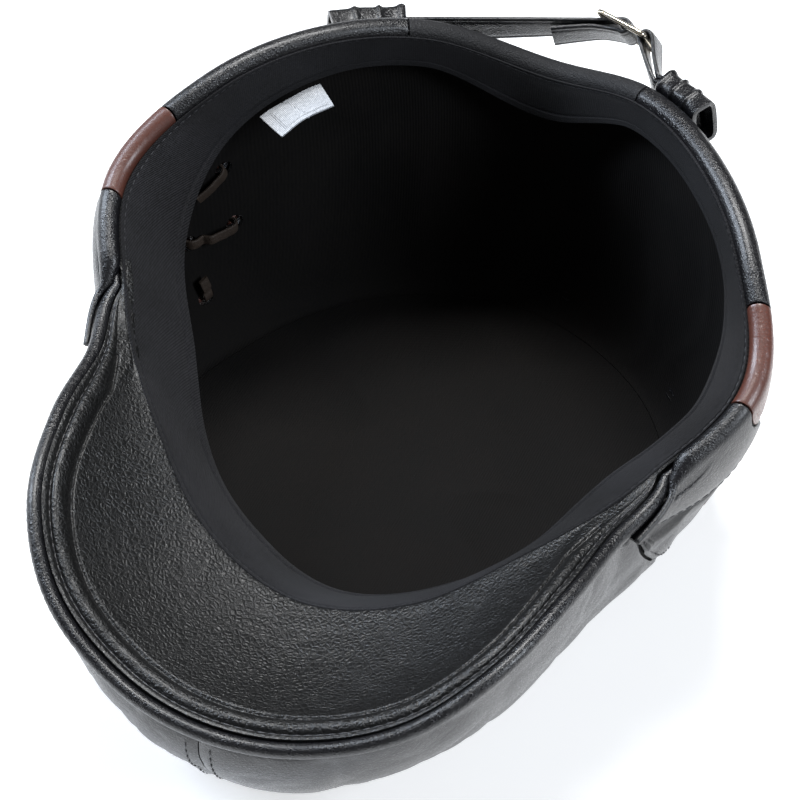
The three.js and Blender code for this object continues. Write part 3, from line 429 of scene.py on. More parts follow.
# %% Crinkle group
# The fine wrinkles that run across a bent sheet: two noises, folded where they cross zero
def leather_crinkle():
    group, entry, leave = new_group("leather crinkle", (("Vector", None), ("Size", 9.0)), ("Height",))
    per_metre = maths(group, "DIVIDE", 1000.0, entry.outputs["Size"])
    broad = node(
        group, "ShaderNodeTexNoise", None, Vector=entry.outputs["Vector"], Scale=per_metre, Detail=3.0,
        Roughness=0.55, Distortion=0.7,
    )
    folded = maths(group, "ABSOLUTE", maths(group, "SUBTRACT", broad.outputs["Fac"], 0.5))
    ridge = remap(group, folded, 0.0, 0.09, 0.0, 1.0)
    group.links.new(ridge, leave.inputs["Height"])
    return group


CRINKLE = leather_crinkle()


# %% Weave group
# Two sets of threads that pass over and under each other; with Slant they step into a twill
def woven_cloth():
    group, entry, leave = new_group(
        "woven cloth", (("Vector", None), ("Thread", 0.5), ("Slant", 0.0)), ("Height", "Fuzz"),
    )
    parts = node(group, "ShaderNodeSeparateXYZ", None, _0=entry.outputs["Vector"])
    turns = maths(group, "DIVIDE", 1000.0 * 2 * math.pi, entry.outputs["Thread"])
    across = maths(group, "MULTIPLY", parts.outputs[0], turns)
    along = maths(group, "MULTIPLY", parts.outputs[1], turns)
    leaning = maths(group, "ADD", across, maths(group, "MULTIPLY", along, entry.outputs["Slant"]))
    warp = maths(group, "SINE", leaning)
    weft = maths(group, "SINE", maths(group, "SUBTRACT", along, maths(group, "MULTIPLY", across, 0.5)))
    height = maths(group, "ADD", warp, maths(group, "MULTIPLY", weft, 0.4))
    fuzz = node(group, "ShaderNodeTexNoise", None, Vector=entry.outputs["Vector"], Scale=900.0, Detail=3.0)
    both = maths(group, "ADD", height, maths(group, "MULTIPLY", fuzz.outputs["Fac"], 1.2))
    group.links.new(both, leave.inputs["Height"])
    group.links.new(fuzz.outputs["Fac"], leave.inputs["Fuzz"])
    return group


WEAVE = woven_cloth()


# %% Start of a material
def new_material(name):
    material = bpy.data.materials.new(name)
    material.use_nodes = True
    tree = material.node_tree
    shader = tree.nodes["Principled BSDF"]
    where = tree.nodes.new("ShaderNodeTexCoord")
    return material, tree, shader, where


def use_group(tree, group, **inputs):
    made = tree.nodes.new("ShaderNodeGroup")
    made.node_tree = group
    for key, value in inputs.items():
        if isinstance(value, bpy.types.NodeSocket):
            tree.links.new(value, made.inputs[key])
        else:
            made.inputs[key].default_value = value
    return made


def colour(red, green, blue):
    return (red, green, blue, 1.0)


# %% [markdown]
# ### Leather
# The black hide is dyed through and lightly waxed: nearly black, with duller hollows. Its colour
# is a random tone with a painted sheen, lighter and cooler, on the grain's high places and painted
# shade in its hollows. The brown hide of the side patches is redder and glossier. The brim's panel
# shows the coarsest pebbles, so one function makes every leather with its own grain size.

# %% Leather materials
def leather(name, deep, light, grain, depth, crinkle, rough, coat=0.0):
    material, tree, shader, where = new_material(name)
    surface = where.outputs["Object"]
    skin = use_group(tree, GRAIN, Vector=surface, Size=grain, Pebble=1.0, Lines=0.6)
    lines = use_group(tree, CRINKLE, Vector=surface, Size=crinkle)
    tone = remap(tree, skin.outputs["Tone"], 0.35, 0.65, 0.0, 1.0)
    # A random tone of the hide, with a painted sheen on the pebble tops and painted shade in the grain's hollows
    tone_and_painted_sheen = maths(tree, "MULTIPLY", tone, maths(tree, "SUBTRACT", 1.0, skin.outputs["Hollow"], True))
    tree.links.new(blend(tree, tone_and_painted_sheen, deep, light), shader.inputs["Base Color"])
    dull = maths(tree, "ADD", remap(tree, tone, 0.0, 1.0, rough[1], rough[0]),
                 maths(tree, "MULTIPLY", skin.outputs["Hollow"], 0.16))
    tree.links.new(dull, shader.inputs["Roughness"])
    shader.inputs["Coat Weight"].default_value = coat
    shader.inputs["Coat Roughness"].default_value = 0.22
    pebbles = node(tree, "ShaderNodeBump", None, Strength=1.0, Distance=depth * MM, Height=skin.outputs["Height"])
    creases = node(
        tree, "ShaderNodeBump", None, Strength=0.55, Distance=0.16 * MM, Height=lines.outputs["Height"],
        Normal=pebbles.outputs["Normal"],
    )
    tree.links.new(creases.outputs["Normal"], shader.inputs["Normal"])
    return material


BLACK_LEATHER = leather(
    "black leather", colour(0.003, 0.003, 0.004), colour(0.007, 0.007, 0.009), 0.95, 0.07, 11.0, (0.2, 0.34), 0.25,
)
PANEL_LEATHER = leather(
    "black panel leather", colour(0.004, 0.004, 0.004), colour(0.009, 0.009, 0.009), 1.5, 0.14, 14.0, (0.28, 0.4), 0.15,
)
BROWN_LEATHER = leather(
    "brown leather", colour(0.08, 0.026, 0.017), colour(0.14, 0.05, 0.036), 0.9, 0.02, 14.0, (0.24, 0.36), 0.3,
)
LACE_LEATHER = leather(
    "lace leather", colour(0.035, 0.024, 0.017), colour(0.08, 0.057, 0.043), 0.7, 0.05, 5.0, (0.45, 0.58),
)
BINDING_LEATHER = leather(
    "binding leather", colour(0.004, 0.004, 0.005), colour(0.012, 0.012, 0.014), 0.8, 0.09, 4.0, (0.5, 0.65),
)

# %% [markdown]
# ### Cloth, thread and metal
# The lining is a plain dark cloth that hardly shows. The sweatband is a charcoal twill, the label a
# white satin tape that is left blank, and the buckle a pale plated wire with a fine brushing.


# %% Cloth materials
def cloth(name, deep, light, thread, slant, depth, rough, by_thread, scale=(1, 1, 1), sheen=0.0):
    material, tree, shader, where = new_material(name)
    source = where.outputs["UV" if by_thread else "Object"]
    mapping = node(tree, "ShaderNodeMapping", None, Vector=source, Scale=scale)
    weave = use_group(tree, WEAVE, Vector=mapping.outputs["Vector"], Thread=thread, Slant=slant)
    shade = node(tree, "ShaderNodeTexNoise", None, Vector=where.outputs["Object"], Scale=35.0, Detail=5.0)
    mix = maths(tree, "MULTIPLY", maths(tree, "ADD", shade.outputs["Fac"], weave.outputs["Fuzz"]), 0.5)
    tone = remap(tree, mix, 0.4, 0.6, 0.0, 1.0)
    tree.links.new(blend(tree, tone, deep, light), shader.inputs["Base Color"])
    tree.links.new(remap(tree, tone, 0.0, 1.0, rough - 0.05, rough), shader.inputs["Roughness"])
    shader.inputs["Specular IOR Level"].default_value = 0.25
    shader.inputs["Sheen Weight"].default_value = sheen
    shader.inputs["Sheen Roughness"].default_value = 0.5
    bump = node(tree, "ShaderNodeBump", None, Strength=0.8, Distance=depth * MM, Height=weave.outputs["Height"])
    tree.links.new(bump.outputs["Normal"], shader.inputs["Normal"])
    return material


BAND_LENGTH = 2 * math.pi * 0.85 * HEAD_RADIUS * MM
BAND_WIDTH = 0.034
LINING_MATERIAL = cloth(
    "lining cloth", colour(0.003, 0.0026, 0.0024), colour(0.006, 0.005, 0.0045), 0.8, 0.0, 0.05, 0.9, False,
)
SWEATBAND_MATERIAL = cloth(
    "sweatband twill", colour(0.007, 0.007, 0.008), colour(0.017, 0.017, 0.0195), 0.9, 1.0, 0.08, 0.95, True,
    (BAND_LENGTH, BAND_WIDTH, 1), 0.04,
)
LABEL_MATERIAL = cloth(
    "label tape", colour(0.4, 0.42, 0.45), colour(0.58, 0.6, 0.63), 0.55, 0.0, 0.05, 0.6, True, (0.023, 0.013, 1), 0.1,
)


# %% Thread and metal materials
def thread_material(name, deep, light):
    material, tree, shader, where = new_material(name)
    twist = node(
        tree, "ShaderNodeTexWave", {"bands_direction": "DIAGONAL"}, Vector=where.outputs["Object"], Scale=900.0,
    )
    tree.links.new(blend(tree, twist.outputs["Fac"], deep, light), shader.inputs["Base Color"])
    tree.links.new(remap(tree, twist.outputs["Fac"], 0.0, 1.0, 0.5, 0.38), shader.inputs["Roughness"])
    bump = node(tree, "ShaderNodeBump", None, Strength=0.6, Distance=0.05 * MM, Height=twist.outputs["Fac"])
    tree.links.new(bump.outputs["Normal"], shader.inputs["Normal"])
    return material


def metal_material():
    material, tree, shader, where = new_material("pale plated metal")
    brushed = node(tree, "ShaderNodeMapping", None, Vector=where.outputs["Object"], Scale=(300, 300, 4000))
    streak = node(tree, "ShaderNodeTexNoise", None, Vector=brushed.outputs["Vector"], Scale=1.0, Detail=3.0)
    patina = node(tree, "ShaderNodeTexNoise", None, Vector=where.outputs["Object"], Scale=220.0, Detail=3.0)
    tone = remap(tree, patina.outputs["Fac"], 0.35, 0.7, 0.0, 1.0)
    tree.links.new(
        blend(tree, tone, colour(0.78, 0.74, 0.66), colour(0.5, 0.42, 0.3)), shader.inputs["Base Color"],
    )
    shader.inputs["Metallic"].default_value = 1.0
    tree.links.new(remap(tree, streak.outputs["Fac"], 0.3, 0.7, 0.14, 0.3), shader.inputs["Roughness"])
    bump = node(tree, "ShaderNodeBump", None, Strength=0.15, Distance=0.02 * MM, Height=streak.outputs["Fac"])
    tree.links.new(bump.outputs["Normal"], shader.inputs["Normal"])
    return material


BLACK_THREAD = thread_material("black thread", colour(0.008, 0.008, 0.01), colour(0.035, 0.035, 0.04))
BROWN_THREAD = thread_material("brown thread", colour(0.1, 0.04, 0.03), colour(0.22, 0.1, 0.07))
PALE_METAL = metal_material()

# %% [markdown]
# ## The crown
# The crown is cut from a flat top panel, two lower walls that meet in a seam under the brim, and two
# side walls above them. Each is a grid between two levels of the wall, so the seams between them
# follow the same line. The creases are moved into the points, because light has to catch them.


# %% Crown walls
def seam_level(angle):
    return read(TOP_SEAM, "level", from_front(angle))


def hide_form(angle, level, seed):
    """How far the leather of the crown stands in from its even form, in mm, with worn creases."""
    points = place(angle, *wall(angle, level, 1))
    soft = 0.5 * noise_at(points, 22, seed)
    folds = 1.0 * crease(points, (38, 38, 17), seed + 1, 4)
    lines = 0.4 * crease(points, (75, 75, 40), seed + 2, 5)
    calm = smoothstep(1 - level, 0, 0.12) * smoothstep(level, 0, 0.05)
    return (soft + folds + lines) * calm


SEAM_HALF_ANGLE = math.degrees(0.1 / HEAD_RADIUS)


def crown_wall(word, side):
    def surface(u, v):
        share = u if side > 0 else 1 - u
        angle = side * lerp(SEAM_HALF_ANGLE, 180 - SEAM_HALF_ANGLE, share)
        above = np.where(from_front(angle) > 62, seam_level(angle) + 0.012, 0.0)
        level = lerp(1.0, above, v)
        inset = hide_form(angle, level, 3)
        inset = inset + 0.6 * bell(np.abs(angle) * math.pi / 180 * HEAD_RADIUS, 0, 0.8)
        near_seam = bell((level - above) * 90, 0, 1.1) * (from_front(angle) > 62)
        reach, height = beside_wall(angle, level, inset + 0.7 * near_seam, 1)
        return place(angle, reach, np.maximum(height, 0))

    piece = grid_piece(f"crown_wall_{word}_hide", 190, 64, surface)
    thicken(piece, LEATHER)
    return finish(piece, [f"crown_wall_{word}"], BLACK_LEATHER)


CROWN_WALLS = [crown_wall("left", -1), crown_wall("right", 1)]


# %% Crown sides
def crown_side(word, side):
    def surface(u, v):
        share = u if side > 0 else 1 - u
        angle = side * lerp(62.6, 180 - SEAM_HALF_ANGLE, share)
        low = seam_level(angle) - 0.004
        level = np.maximum(lerp(low, 0.0, v), 0)
        inset = hide_form(angle, level, 3)
        near_seam = bell((low - level) * 90, 0, 1.1)
        depth = rim_height(angle) - wall(angle, level, 1)[1]
        in_front = smoothstep(-from_front(angle), -90, -84)
        inset = inset - 1.4 * in_front * smoothstep(depth, 25.5, 27) * smoothstep(-depth, -44, -27)
        back = bell((180 - from_front(angle)) * math.pi / 180 * HEAD_RADIUS, 0, 1.3)
        reach, height = beside_wall(angle, level, inset + 0.7 * near_seam + 0.7 * back, 1)
        return place(angle, reach, height)

    piece = grid_piece(f"crown_side_{word}_hide", 130, 60, surface)
    thicken(piece, LEATHER)
    return piece


CROWN_SIDES = {word: crown_side(word, side) for word, side in (("left", -1), ("right", 1))}
print("crown sides", [len(piece.data.polygons) for piece in CROWN_SIDES.values()])

# %% Crown top
# The flat panel that the cap lies on is a circle primitive with rings inset in it, moved to the foot
bpy.ops.object.select_all(action="DESELECT")
bpy.ops.mesh.primitive_circle_add(vertices=160, radius=1, fill_type="NGON")
crown_top = bpy.context.object
crown_top.name = "crown_top_hide"
pick(crown_top)
bpy.ops.object.mode_set(mode="EDIT")
for ring in range(9):
    bpy.ops.mesh.inset(thickness=0.1)
bpy.ops.object.mode_set(mode="OBJECT")


def flat_panel(piece, lift, out_front):
    """Moves a unit disc inside the wall's foot at a height in mm."""
    points = np.array([vertex.co for vertex in piece.data.vertices])
    angle = np.degrees(np.arctan2(points[:, 0], -points[:, 1]))
    share = np.hypot(points[:, 0], points[:, 1])
    reach = share * (wall(angle, 1.0, out_front)[0] - SEAM_GAP)
    height = lift(place(angle, reach, 0.0), share)
    piece.data.vertices.foreach_set("co", place(angle, reach, height).astype(np.float32).ravel())
    piece.data.update()


flat_panel(crown_top, lambda points, share: LEATHER + 0 * share, 1)
thicken(crown_top, LEATHER)
finish(crown_top, ["crown_top"], BLACK_LEATHER)

# %% [markdown]
# ## Lining and sweatband
# The lining hangs loosely inside the leather, in soft folds, and a top panel closes it. The
# sweatband is a strip of twill sewn in along the rim, whose lower edge is free and waves a little.


# %% Lining
def lining_surface(u, v):
    angle = lerp(-180.0, 180.0, u)
    level = np.minimum(v, 1.0)
    reach, height = wall(angle, level, 0)
    around = place(angle, reach, height)
    loose = 1.3 * np.maximum(noise_at(around, (30, 30, 9), 11), 0)
    wrinkled = 0.8 * crease(around, (34, 34, 15), 12, 3)
    calm = smoothstep(level, 0.03, 0.3) * smoothstep(1 - level, 0, 0.15) * smoothstep(from_front(angle), 179.9, 175)
    face = LEATHER + BAND_GAP + LINING_CLOTH + (loose + wrinkled) * calm
    reach, height = beside_wall(angle, level, face, 0)
    return place(angle, reach, height)


lining = grid_piece("lining_cloth", 260, 64, lining_surface)
merge(lining)
thicken(lining, LINING_CLOTH, edge=0)
print("lining", len(lining.data.polygons))

bpy.ops.object.select_all(action="DESELECT")
bpy.ops.mesh.primitive_circle_add(vertices=160, radius=1, fill_type="NGON")
lining_top = bpy.context.object
lining_top.name = "lining_top_cloth"
pick(lining_top)
bpy.ops.object.mode_set(mode="EDIT")
for ring in range(19):
    bpy.ops.mesh.inset(thickness=0.05)
bpy.ops.object.mode_set(mode="OBJECT")


def cloth_lift(points, share):
    loose = 1.6 * np.maximum(noise_at(points, 26, 21), 0) + 1.2 * crease(points, (20, 34, 20), 22, 3)
    return LEATHER + BAND_GAP + LINING_CLOTH + loose * smoothstep(1 - share, 0.02, 0.2)


flat_panel(lining_top, cloth_lift, 0)
thicken(lining_top, LINING_CLOTH, edge=0)
finish(lining_top, ["lining_top"], LINING_MATERIAL)


# %% Sweatband
def sweat_line(angle, down):
    """The sweatband's face from its seam (0) to its free edge (1)."""
    top = (rim_reach(angle), rim_height(angle) + SEAM_GAP)
    low = (HEAD_RADIUS * of_side("sweat", angle), CROWN_DEPTH * of_side("sweat_high", angle))
    reach = lerp(top[0], low[0], down)
    height = lerp(top[1], low[1], down) + 0.06 * CROWN_DEPTH * down * (1 - down)
    return reach, height


def sweatband_surface(u, v):
    angle = lerp(-180.0, 180.0, u)
    reach, height = sweat_line(angle, v)
    around = place(angle, reach, 0 * height)
    wave = 0.8 * noise_at(around, 28, 31) + 0.5 * noise_at(around, 70, 32)
    pucker = 0.35 * crease(around, (120, 120, 1), 33, 2) * bell(v, 0.16, 0.13)
    wave = wave * smoothstep(v, 0.1, 1.0) * smoothstep(from_front(angle), 179.9, 174)
    hem = 0.35 * smoothstep(v, 0.86, 0.9) - 0.5 * bell(v, 0.86, 0.015)
    groove = 0.4 * bell(v, 0.07, 0.02)
    lift = wave + hem - groove - pucker
    return place(angle, reach - 0.5 * lift, height + lift)


sweatband = grid_piece("sweatband_twill", 420, 40, sweatband_surface)
merge(sweatband)
thicken(sweatband, SWEATBAND_CLOTH, edge=0.3)
finish(sweatband, ["sweatband"], SWEATBAND_MATERIAL)

# %% [markdown]
# ## Size label
# A short satin tape is caught under the sweatband's edge. It is folded, so a line shows where the
# under layer ends, and its free edge lifts and curls.

# %% Label
LABEL_ANGLE = -127
LABEL_LENGTH = 21
LABEL_WIDTH = 12


def label_surface(u, v):
    edge = sweat_line(LABEL_ANGLE, 1.0)
    half = math.degrees(LABEL_LENGTH / 2 / edge[0])
    angle = lerp(LABEL_ANGLE - half, LABEL_ANGLE + half, u)
    reach, height = sweat_line(angle, 1.0)
    inward = SWEATBAND_CLOTH + 2.5 * SEAM_GAP + LABEL_WIDTH * v
    curl = 1.2 * v * v * np.sin(math.pi * (0.15 + 0.8 * u)) + 0.35 * np.sin(9 * u + 3 * v)
    fold = 0.5 * smoothstep(np.maximum(np.abs(u - 0.47) / 0.39, np.abs(v - 0.52) / 0.36), 0.97, 1.03)
    crossing = 0.35 * bell(u + 0.15 * v, 0.62, 0.012)
    lift = 0.12 * inward + LABEL_CLOTH / 2 + curl * 0.5 - fold - crossing
    return place(angle, reach - inward, height + lift)


label = grid_piece("size_label_tape", 60, 40, label_surface)
thicken(label, 0.5, edge=0.12)
finish(label, ["size_label"], LABEL_MATERIAL)

# %% [markdown]
# ## The brim
# A stiff board is covered with pebbled leather. Near its edge a padded ridge runs round, then a row
# of stitches, a narrow strip and the rolled edge. All this is one profile drawn across the brim:
# how far the leather stands up at each distance from the edge.


# %% Brim
def brim_ends(angle):
    inner = rim_reach(angle) + SEAM_GAP
    outer = rim_reach(angle) + np.maximum(front(angle, "brim") - 2 * PIPING_RADIUS - SEAM_GAP, 0.9)
    return inner, outer


def brim_lift(from_edge, width):
    """Height of the leather over the board in mm, from the outer edge in."""
    fit = np.minimum(width / 18, 1)
    ridge = 1.7 * np.sin(math.pi * np.clip((from_edge - 2.6 * fit) / (5.4 * fit), 0, 1)) ** 0.8
    groove = -1.0 * bell(from_edge, 8.6 * fit, 0.7) * (width > 9)
    stitched = -0.7 * bell(from_edge, 2.2 * fit, 0.45)
    strip = 0.35 * bell(from_edge, 1.0 * fit, 0.8)
    return (ridge + stitched + strip) * fit + groove


def brim_surface_at(angle, from_edge):
    """A point of the brim's face at a distance from its outer edge, as reach and height."""
    inner, outer = brim_ends(angle)
    width = outer - inner
    share = 1 - from_edge / width
    rise = front(angle, "rise")
    height = rim_height(angle) + share * rise
    panel = np.clip(share / np.maximum(1 - 9 / np.maximum(width, 10), 0.1), 0, 1)
    sink = 2.4 * np.minimum(width / BRIM_DEPTH, 1) * 4 * panel * (1 - panel)
    reach = outer - from_edge
    return reach, height - sink + brim_lift(from_edge, width)


WING_END = 77.5


def brim_surface(u, v):
    angle = lerp(-WING_END, WING_END, u)
    inner, outer = brim_ends(angle)
    dense = np.minimum(11 / (outer - inner), 0.6)
    share = np.where(v < 0.55, v / 0.55 * dense, dense + (v - 0.55) / 0.45 * (1 - dense))
    from_edge = share * (outer - inner)
    reach, height = brim_surface_at(angle, from_edge)
    around = place(angle, reach, height)
    slack = smoothstep(from_edge, 8, 14) * smoothstep(reach - inner, 0, 5)
    right = smoothstep(angle, -10, 35)
    dents = 0.3 * noise_at(around, 40, 41) + 0.45 * right * crease(around, (60, 22, 22), 42, 2)
    lines = 0.16 * crease(around, (90, 70, 70), 43, 4) * (0.4 + right)
    ridged = 0.28 * crease(around, 110, 44, 3) * bell(from_edge, 5.2, 2.4)
    height = height - (dents + lines) * slack - ridged
    return place(angle, reach, height)


brim = grid_piece("brim_panel", 420, 84, brim_surface)
thicken(brim, BRIM_BOARD - 0.2, edge=0.4)
finish(brim, ["brim"], PANEL_LEATHER)


# %% Tubes from a grid
# A grid rolled round a line makes a tube. The line gives its middle and two directions across it.
def tube_piece(name, steps, sides, middle, first, second, radius, closed=False, angle=0.0):
    """middle, first and second are arrays of points in metres; radius is a function of (u, turn)."""
    stations = np.linspace(0, 1, len(middle))

    def follow(values, u):
        return np.stack([np.interp(u, stations, values[:, axis]) for axis in range(3)], axis=-1)

    def surface(u, v):
        turn = 2 * math.pi * v + angle
        out_first, out_second = radius(u, turn)
        return (follow(middle, u) + follow(first, u) * (out_first * MM)[:, None]
                + follow(second, u) * (out_second * MM)[:, None])

    piece = grid_piece(name, steps, sides, surface)
    merge(piece, close=not closed)
    if closed:
        mesh = bmesh.new()
        mesh.from_mesh(piece.data)
        bmesh.ops.recalc_face_normals(mesh, faces=mesh.faces)
        mesh.to_mesh(piece.data)
        mesh.free()
    return piece


def round_section(size):
    return lambda u, turn: (size * np.cos(turn), size * np.sin(turn))


def directions(points, up):
    """The directions across a line of points: up made square to it, and the one beside it."""
    along = np.gradient(points, axis=0)
    along /= np.linalg.norm(along, axis=1)[:, None]
    up = up - along * np.sum(up * along, axis=1)[:, None]
    up /= np.linalg.norm(up, axis=1)[:, None]
    return up, np.cross(along, up)


# %% Brim edge
def edge_line(count):
    angle = np.linspace(-WING_END, WING_END, count)
    reach = rim_reach(angle) + np.maximum(front(angle, "brim") - PIPING_RADIUS, 2.6)
    height = rim_height(angle) + front(angle, "rise") - BRIM_BOARD / 2
    return place(angle, reach, height)


edge_middle = edge_line(420)
edge_up, edge_beside = directions(edge_middle, np.tile((0.0, 0.0, 1.0), (420, 1)))


def rolled_edge(u, turn):
    grain = 0.06 * np.sin(u * 900) * np.sin(turn * 3)
    slender = smoothstep(np.minimum(u, 1 - u), -0.01, 0.07)
    size = (PIPING_RADIUS + grain) * lerp(0.35, 1.0, slender)
    return size * np.cos(turn), size * np.sin(turn)


piping = tube_piece("brim_rolled_edge", 419, 20, edge_middle, edge_up, edge_beside, rolled_edge)
finish(piping, ["brim_piping"], BLACK_LEATHER)

# %% [markdown]
# ## Bands over the rim
# Bands of leather are rolled over the cap's raw edge and hide it. The brown patches are the same,
# only wider and longer. A path starts inside the opening, turns over the rim and goes down outside.

# %% Rolled pieces
PATCH_HALF_WIDTH = 14
PATCH_DEPTH = 0.8
FRONT_BAND_ANGLE = 62
LOOP_MOUTHS = {-1: 153, 1: 158}
ROLL_SHARE = 0.3
HEM_SHARE = 0.06


def patch_angle(depth):
    return read(PATCH_LINE, "angle", depth / CROWN_DEPTH, key="depth")


def patch_reach(angle, depth):
    down = wall(angle, level_at_depth(angle, depth), 0)[0]
    return np.where(depth > ROLL_ROOM, down, rim_reach(angle) + RIM_STACK)


def patch_edge(depth, way, gap):
    middle = patch_angle(depth)
    return middle + way * np.degrees((PATCH_HALF_WIDTH + gap) / patch_reach(middle, depth))


def rolled_surface(side, start_edge, end_edge, depth_at, puff, swing=None):
    """A rolled piece between two edges, as surface(u, v) with v from its low edge to its inner hem."""
    def surface(u, v):
        share = u if side > 0 else 1 - u
        rim_angle = lerp(start_edge(0.0 * u), end_edge(0.0 * u), share)
        path = 1 - v
        down = np.clip((path - ROLL_SHARE) / (1 - ROLL_SHARE), 0, 1)
        depth = down * depth_at(rim_angle)
        angle = lerp(start_edge(depth), end_edge(depth), share)
        inner = rim_reach(rim_angle) + BAND_GAP + LEATHER / 2
        outer = rim_reach(rim_angle) + RIM_STACK + BAND_GAP + LEATHER / 2
        height = rim_height(rim_angle)
        if swing:
            over = smoothstep(rim_angle, *swing)
            beyond = rim_reach(rim_angle) + np.maximum(front(rim_angle, "brim"), 5.0) + 1.2
            inner, outer = lerp(beyond, inner, over), lerp(beyond + 0.6, outer, over)
            height = height - lerp(1.6, 0.0, over)
        turn = math.pi * (1 - np.clip((path - HEM_SHARE) / (ROLL_SHARE - HEM_SHARE), 0, 1))
        over_reach = (inner + outer) / 2 + (outer - inner) / 2 * np.cos(turn)
        over_height = height + (outer - inner) / 2 * np.sin(turn)
        hem = np.clip((HEM_SHARE - path) / HEM_SHARE, 0, 1)
        over_height = over_height - LEATHER / 2 * hem
        out_front = 1 if swing else 0
        level = level_at_depth(side * angle, depth, out_front)
        raised = puff(share, depth, depth_at(rim_angle))
        low_reach, low_height = beside_wall(side * angle, level, -(BAND_GAP + LEATHER / 2) - raised, out_front)
        outside = smoothstep(path, ROLL_SHARE - 0.01, ROLL_SHARE + 0.08)
        reach = lerp(over_reach, low_reach, outside)
        high = lerp(over_height, low_height, outside)
        return place(side * np.where(path > ROLL_SHARE, angle, rim_angle), reach, high)

    return surface


def band_height(angle):
    return lerp(BAND_HEIGHT, LOOP_BAND_HEIGHT, smoothstep(from_front(angle), 122, 146))


def band_puff(share, depth, whole):
    """Bands are softly padded, with a stitched groove near their low edge."""
    padded = 0.9 * np.sin(math.pi * np.clip(depth / whole, 0, 1)) ** 0.7
    groove = 0.55 * bell(whole - depth, 2.3, 0.5)
    gathers = 0.25 * np.sin(share * 47 + 2 * np.sin(share * 19)) * smoothstep(depth / whole, 0.1, 0.6)
    return padded - groove + gathers * (whole > 0)


def front_height(angle):
    return lerp(9.0, BAND_HEIGHT, smoothstep(angle, FRONT_BAND_ANGLE, 82))


def front_puff(share, depth, whole):
    """The front bands run on smoothly into the crown's leather."""
    padded = 0.8 * np.sin(math.pi * np.clip(depth / whole, 0, 1)) ** 0.8
    return padded - 0.45 * smoothstep(depth / whole, 0.7, 1.0)


def patch_puff(share, depth, whole):
    padded = 0.5 * np.sin(math.pi * np.clip(share, 0, 1)) ** 0.6
    dips = 0.5 * bell(np.minimum(share, 1 - share) * 2 * PATCH_HALF_WIDTH, 2.0, 0.5) * smoothstep(depth, 3, 8)
    low = 0.5 * bell(whole - depth, 2.3, 0.5)
    return padded - dips - low


def make_rolled(name, nodes, material, columns, rows, surface, holes=None):
    piece = grid_piece(name, columns, rows, surface)
    thicken(piece, LEATHER, offset=0.0, edge=0.3)
    if holes:
        cut_holes(piece, holes)
    return finish(piece, nodes, material)


# %% [markdown]
# ## Lace holes
# Four holes are punched through patch, crown and lining on each side, so daylight shows in them from
# inside. Each drill is a cylinder, turned to stand square to the wall, and a Boolean takes it away.

# %% Drills
LACE_HOLE_RADIUS = 3.0
LACE_HOLES = {"depth": (0.34, 0.52, 0.57, 0.745), "column": (0.6, -0.6, 0.6, -0.55)}


def wall_point(angle, depth, out):
    """One point outside the wall by out mm, in metres."""
    level = level_at_depth(np.array([angle]), np.array([depth]))
    reach, height = beside_wall(np.array([angle]), level, -out, 0)
    return place(np.array([angle]), reach, height)[0]


def patch_spread(depth):
    middle = float(patch_angle(depth))
    return math.degrees(PATCH_HALF_WIDTH / float(patch_reach(middle, depth)))


def lace_hole(side, depth_share, column):
    depth = depth_share * CROWN_DEPTH
    angle = side * (float(patch_angle(depth)) + column * patch_spread(depth))
    middle = wall_point(angle, depth, 0.0)
    out = wall_point(angle, depth, 1.0) - middle
    return {"angle": angle, "depth": depth, "middle": middle, "out": out / np.linalg.norm(out)}


def holes_of(side):
    return [lace_hole(side, depth, column) for depth, column in zip(*LACE_HOLES.values())]


def cut_holes(piece, sides):
    """Punches the lace holes of the given sides through a piece."""
    drills = []
    for side in sides:
        for hole in holes_of(side):
            turn = Vector((0, 0, 1)).rotation_difference(Vector(hole["out"]))
            bpy.ops.mesh.primitive_cylinder_add(
                vertices=32, radius=LACE_HOLE_RADIUS * MM, depth=24 * MM, location=hole["middle"],
                rotation=turn.to_euler(),
            )
            drills.append(bpy.context.object)
    bpy.ops.object.select_all(action="DESELECT")
    for drill in drills:
        drill.select_set(True)
    bpy.context.view_layer.objects.active = drills[0]
    bpy.ops.object.join()
    drill = bpy.context.object
    modify(piece, "BOOLEAN", operation="DIFFERENCE", object=drill, solver="EXACT")
    bpy.data.objects.remove(drill, do_unlink=True)


cut_holes(lining, (-1, 1))
finish(lining, ["lining", "lining_back_left", "lining_back_right"], LINING_MATERIAL)
for word, side in (("left", -1), ("right", 1)):
    cut_holes(CROWN_SIDES[word], (side,))
    finish(CROWN_SIDES[word], [f"crown_side_{word}"], BLACK_LEATHER)

# %% Bands and patches
EDGE_GAP = 2 * SEAM_GAP
for word, side in (("left", -1), ("right", 1)):
    front_band = rolled_surface(
        side,
        lambda depth: FRONT_BAND_ANGLE + 0 * depth,
        lambda depth: patch_edge(depth, -1, EDGE_GAP),
        front_height,
        front_puff,
        (70.8, 77.5),
    )
    back_band = rolled_surface(
        side,
        lambda depth: patch_edge(depth, 1, EDGE_GAP),
        lambda depth: LOOP_MOUTHS[side] + 0 * depth,
        band_height,
        band_puff,
    )
    patch = rolled_surface(
        side,
        lambda depth: patch_edge(depth, -1, 0),
        lambda depth: patch_edge(depth, 1, 0),
        lambda angle: PATCH_DEPTH * CROWN_DEPTH + 0 * angle,
        patch_puff,
    )
    make_rolled(f"rim_band_front_{word}_hide", [f"rim_band_front_{word}"], BLACK_LEATHER,
                70, 52, front_band)
    make_rolled(f"rim_band_back_{word}_hide", [f"rim_band_back_{word}"], BLACK_LEATHER,
                110, 48, back_band)
    make_rolled(f"side_patch_{word}_hide", [f"side_patch_{word}"], BROWN_LEATHER,
                40, 110, patch, (side,))

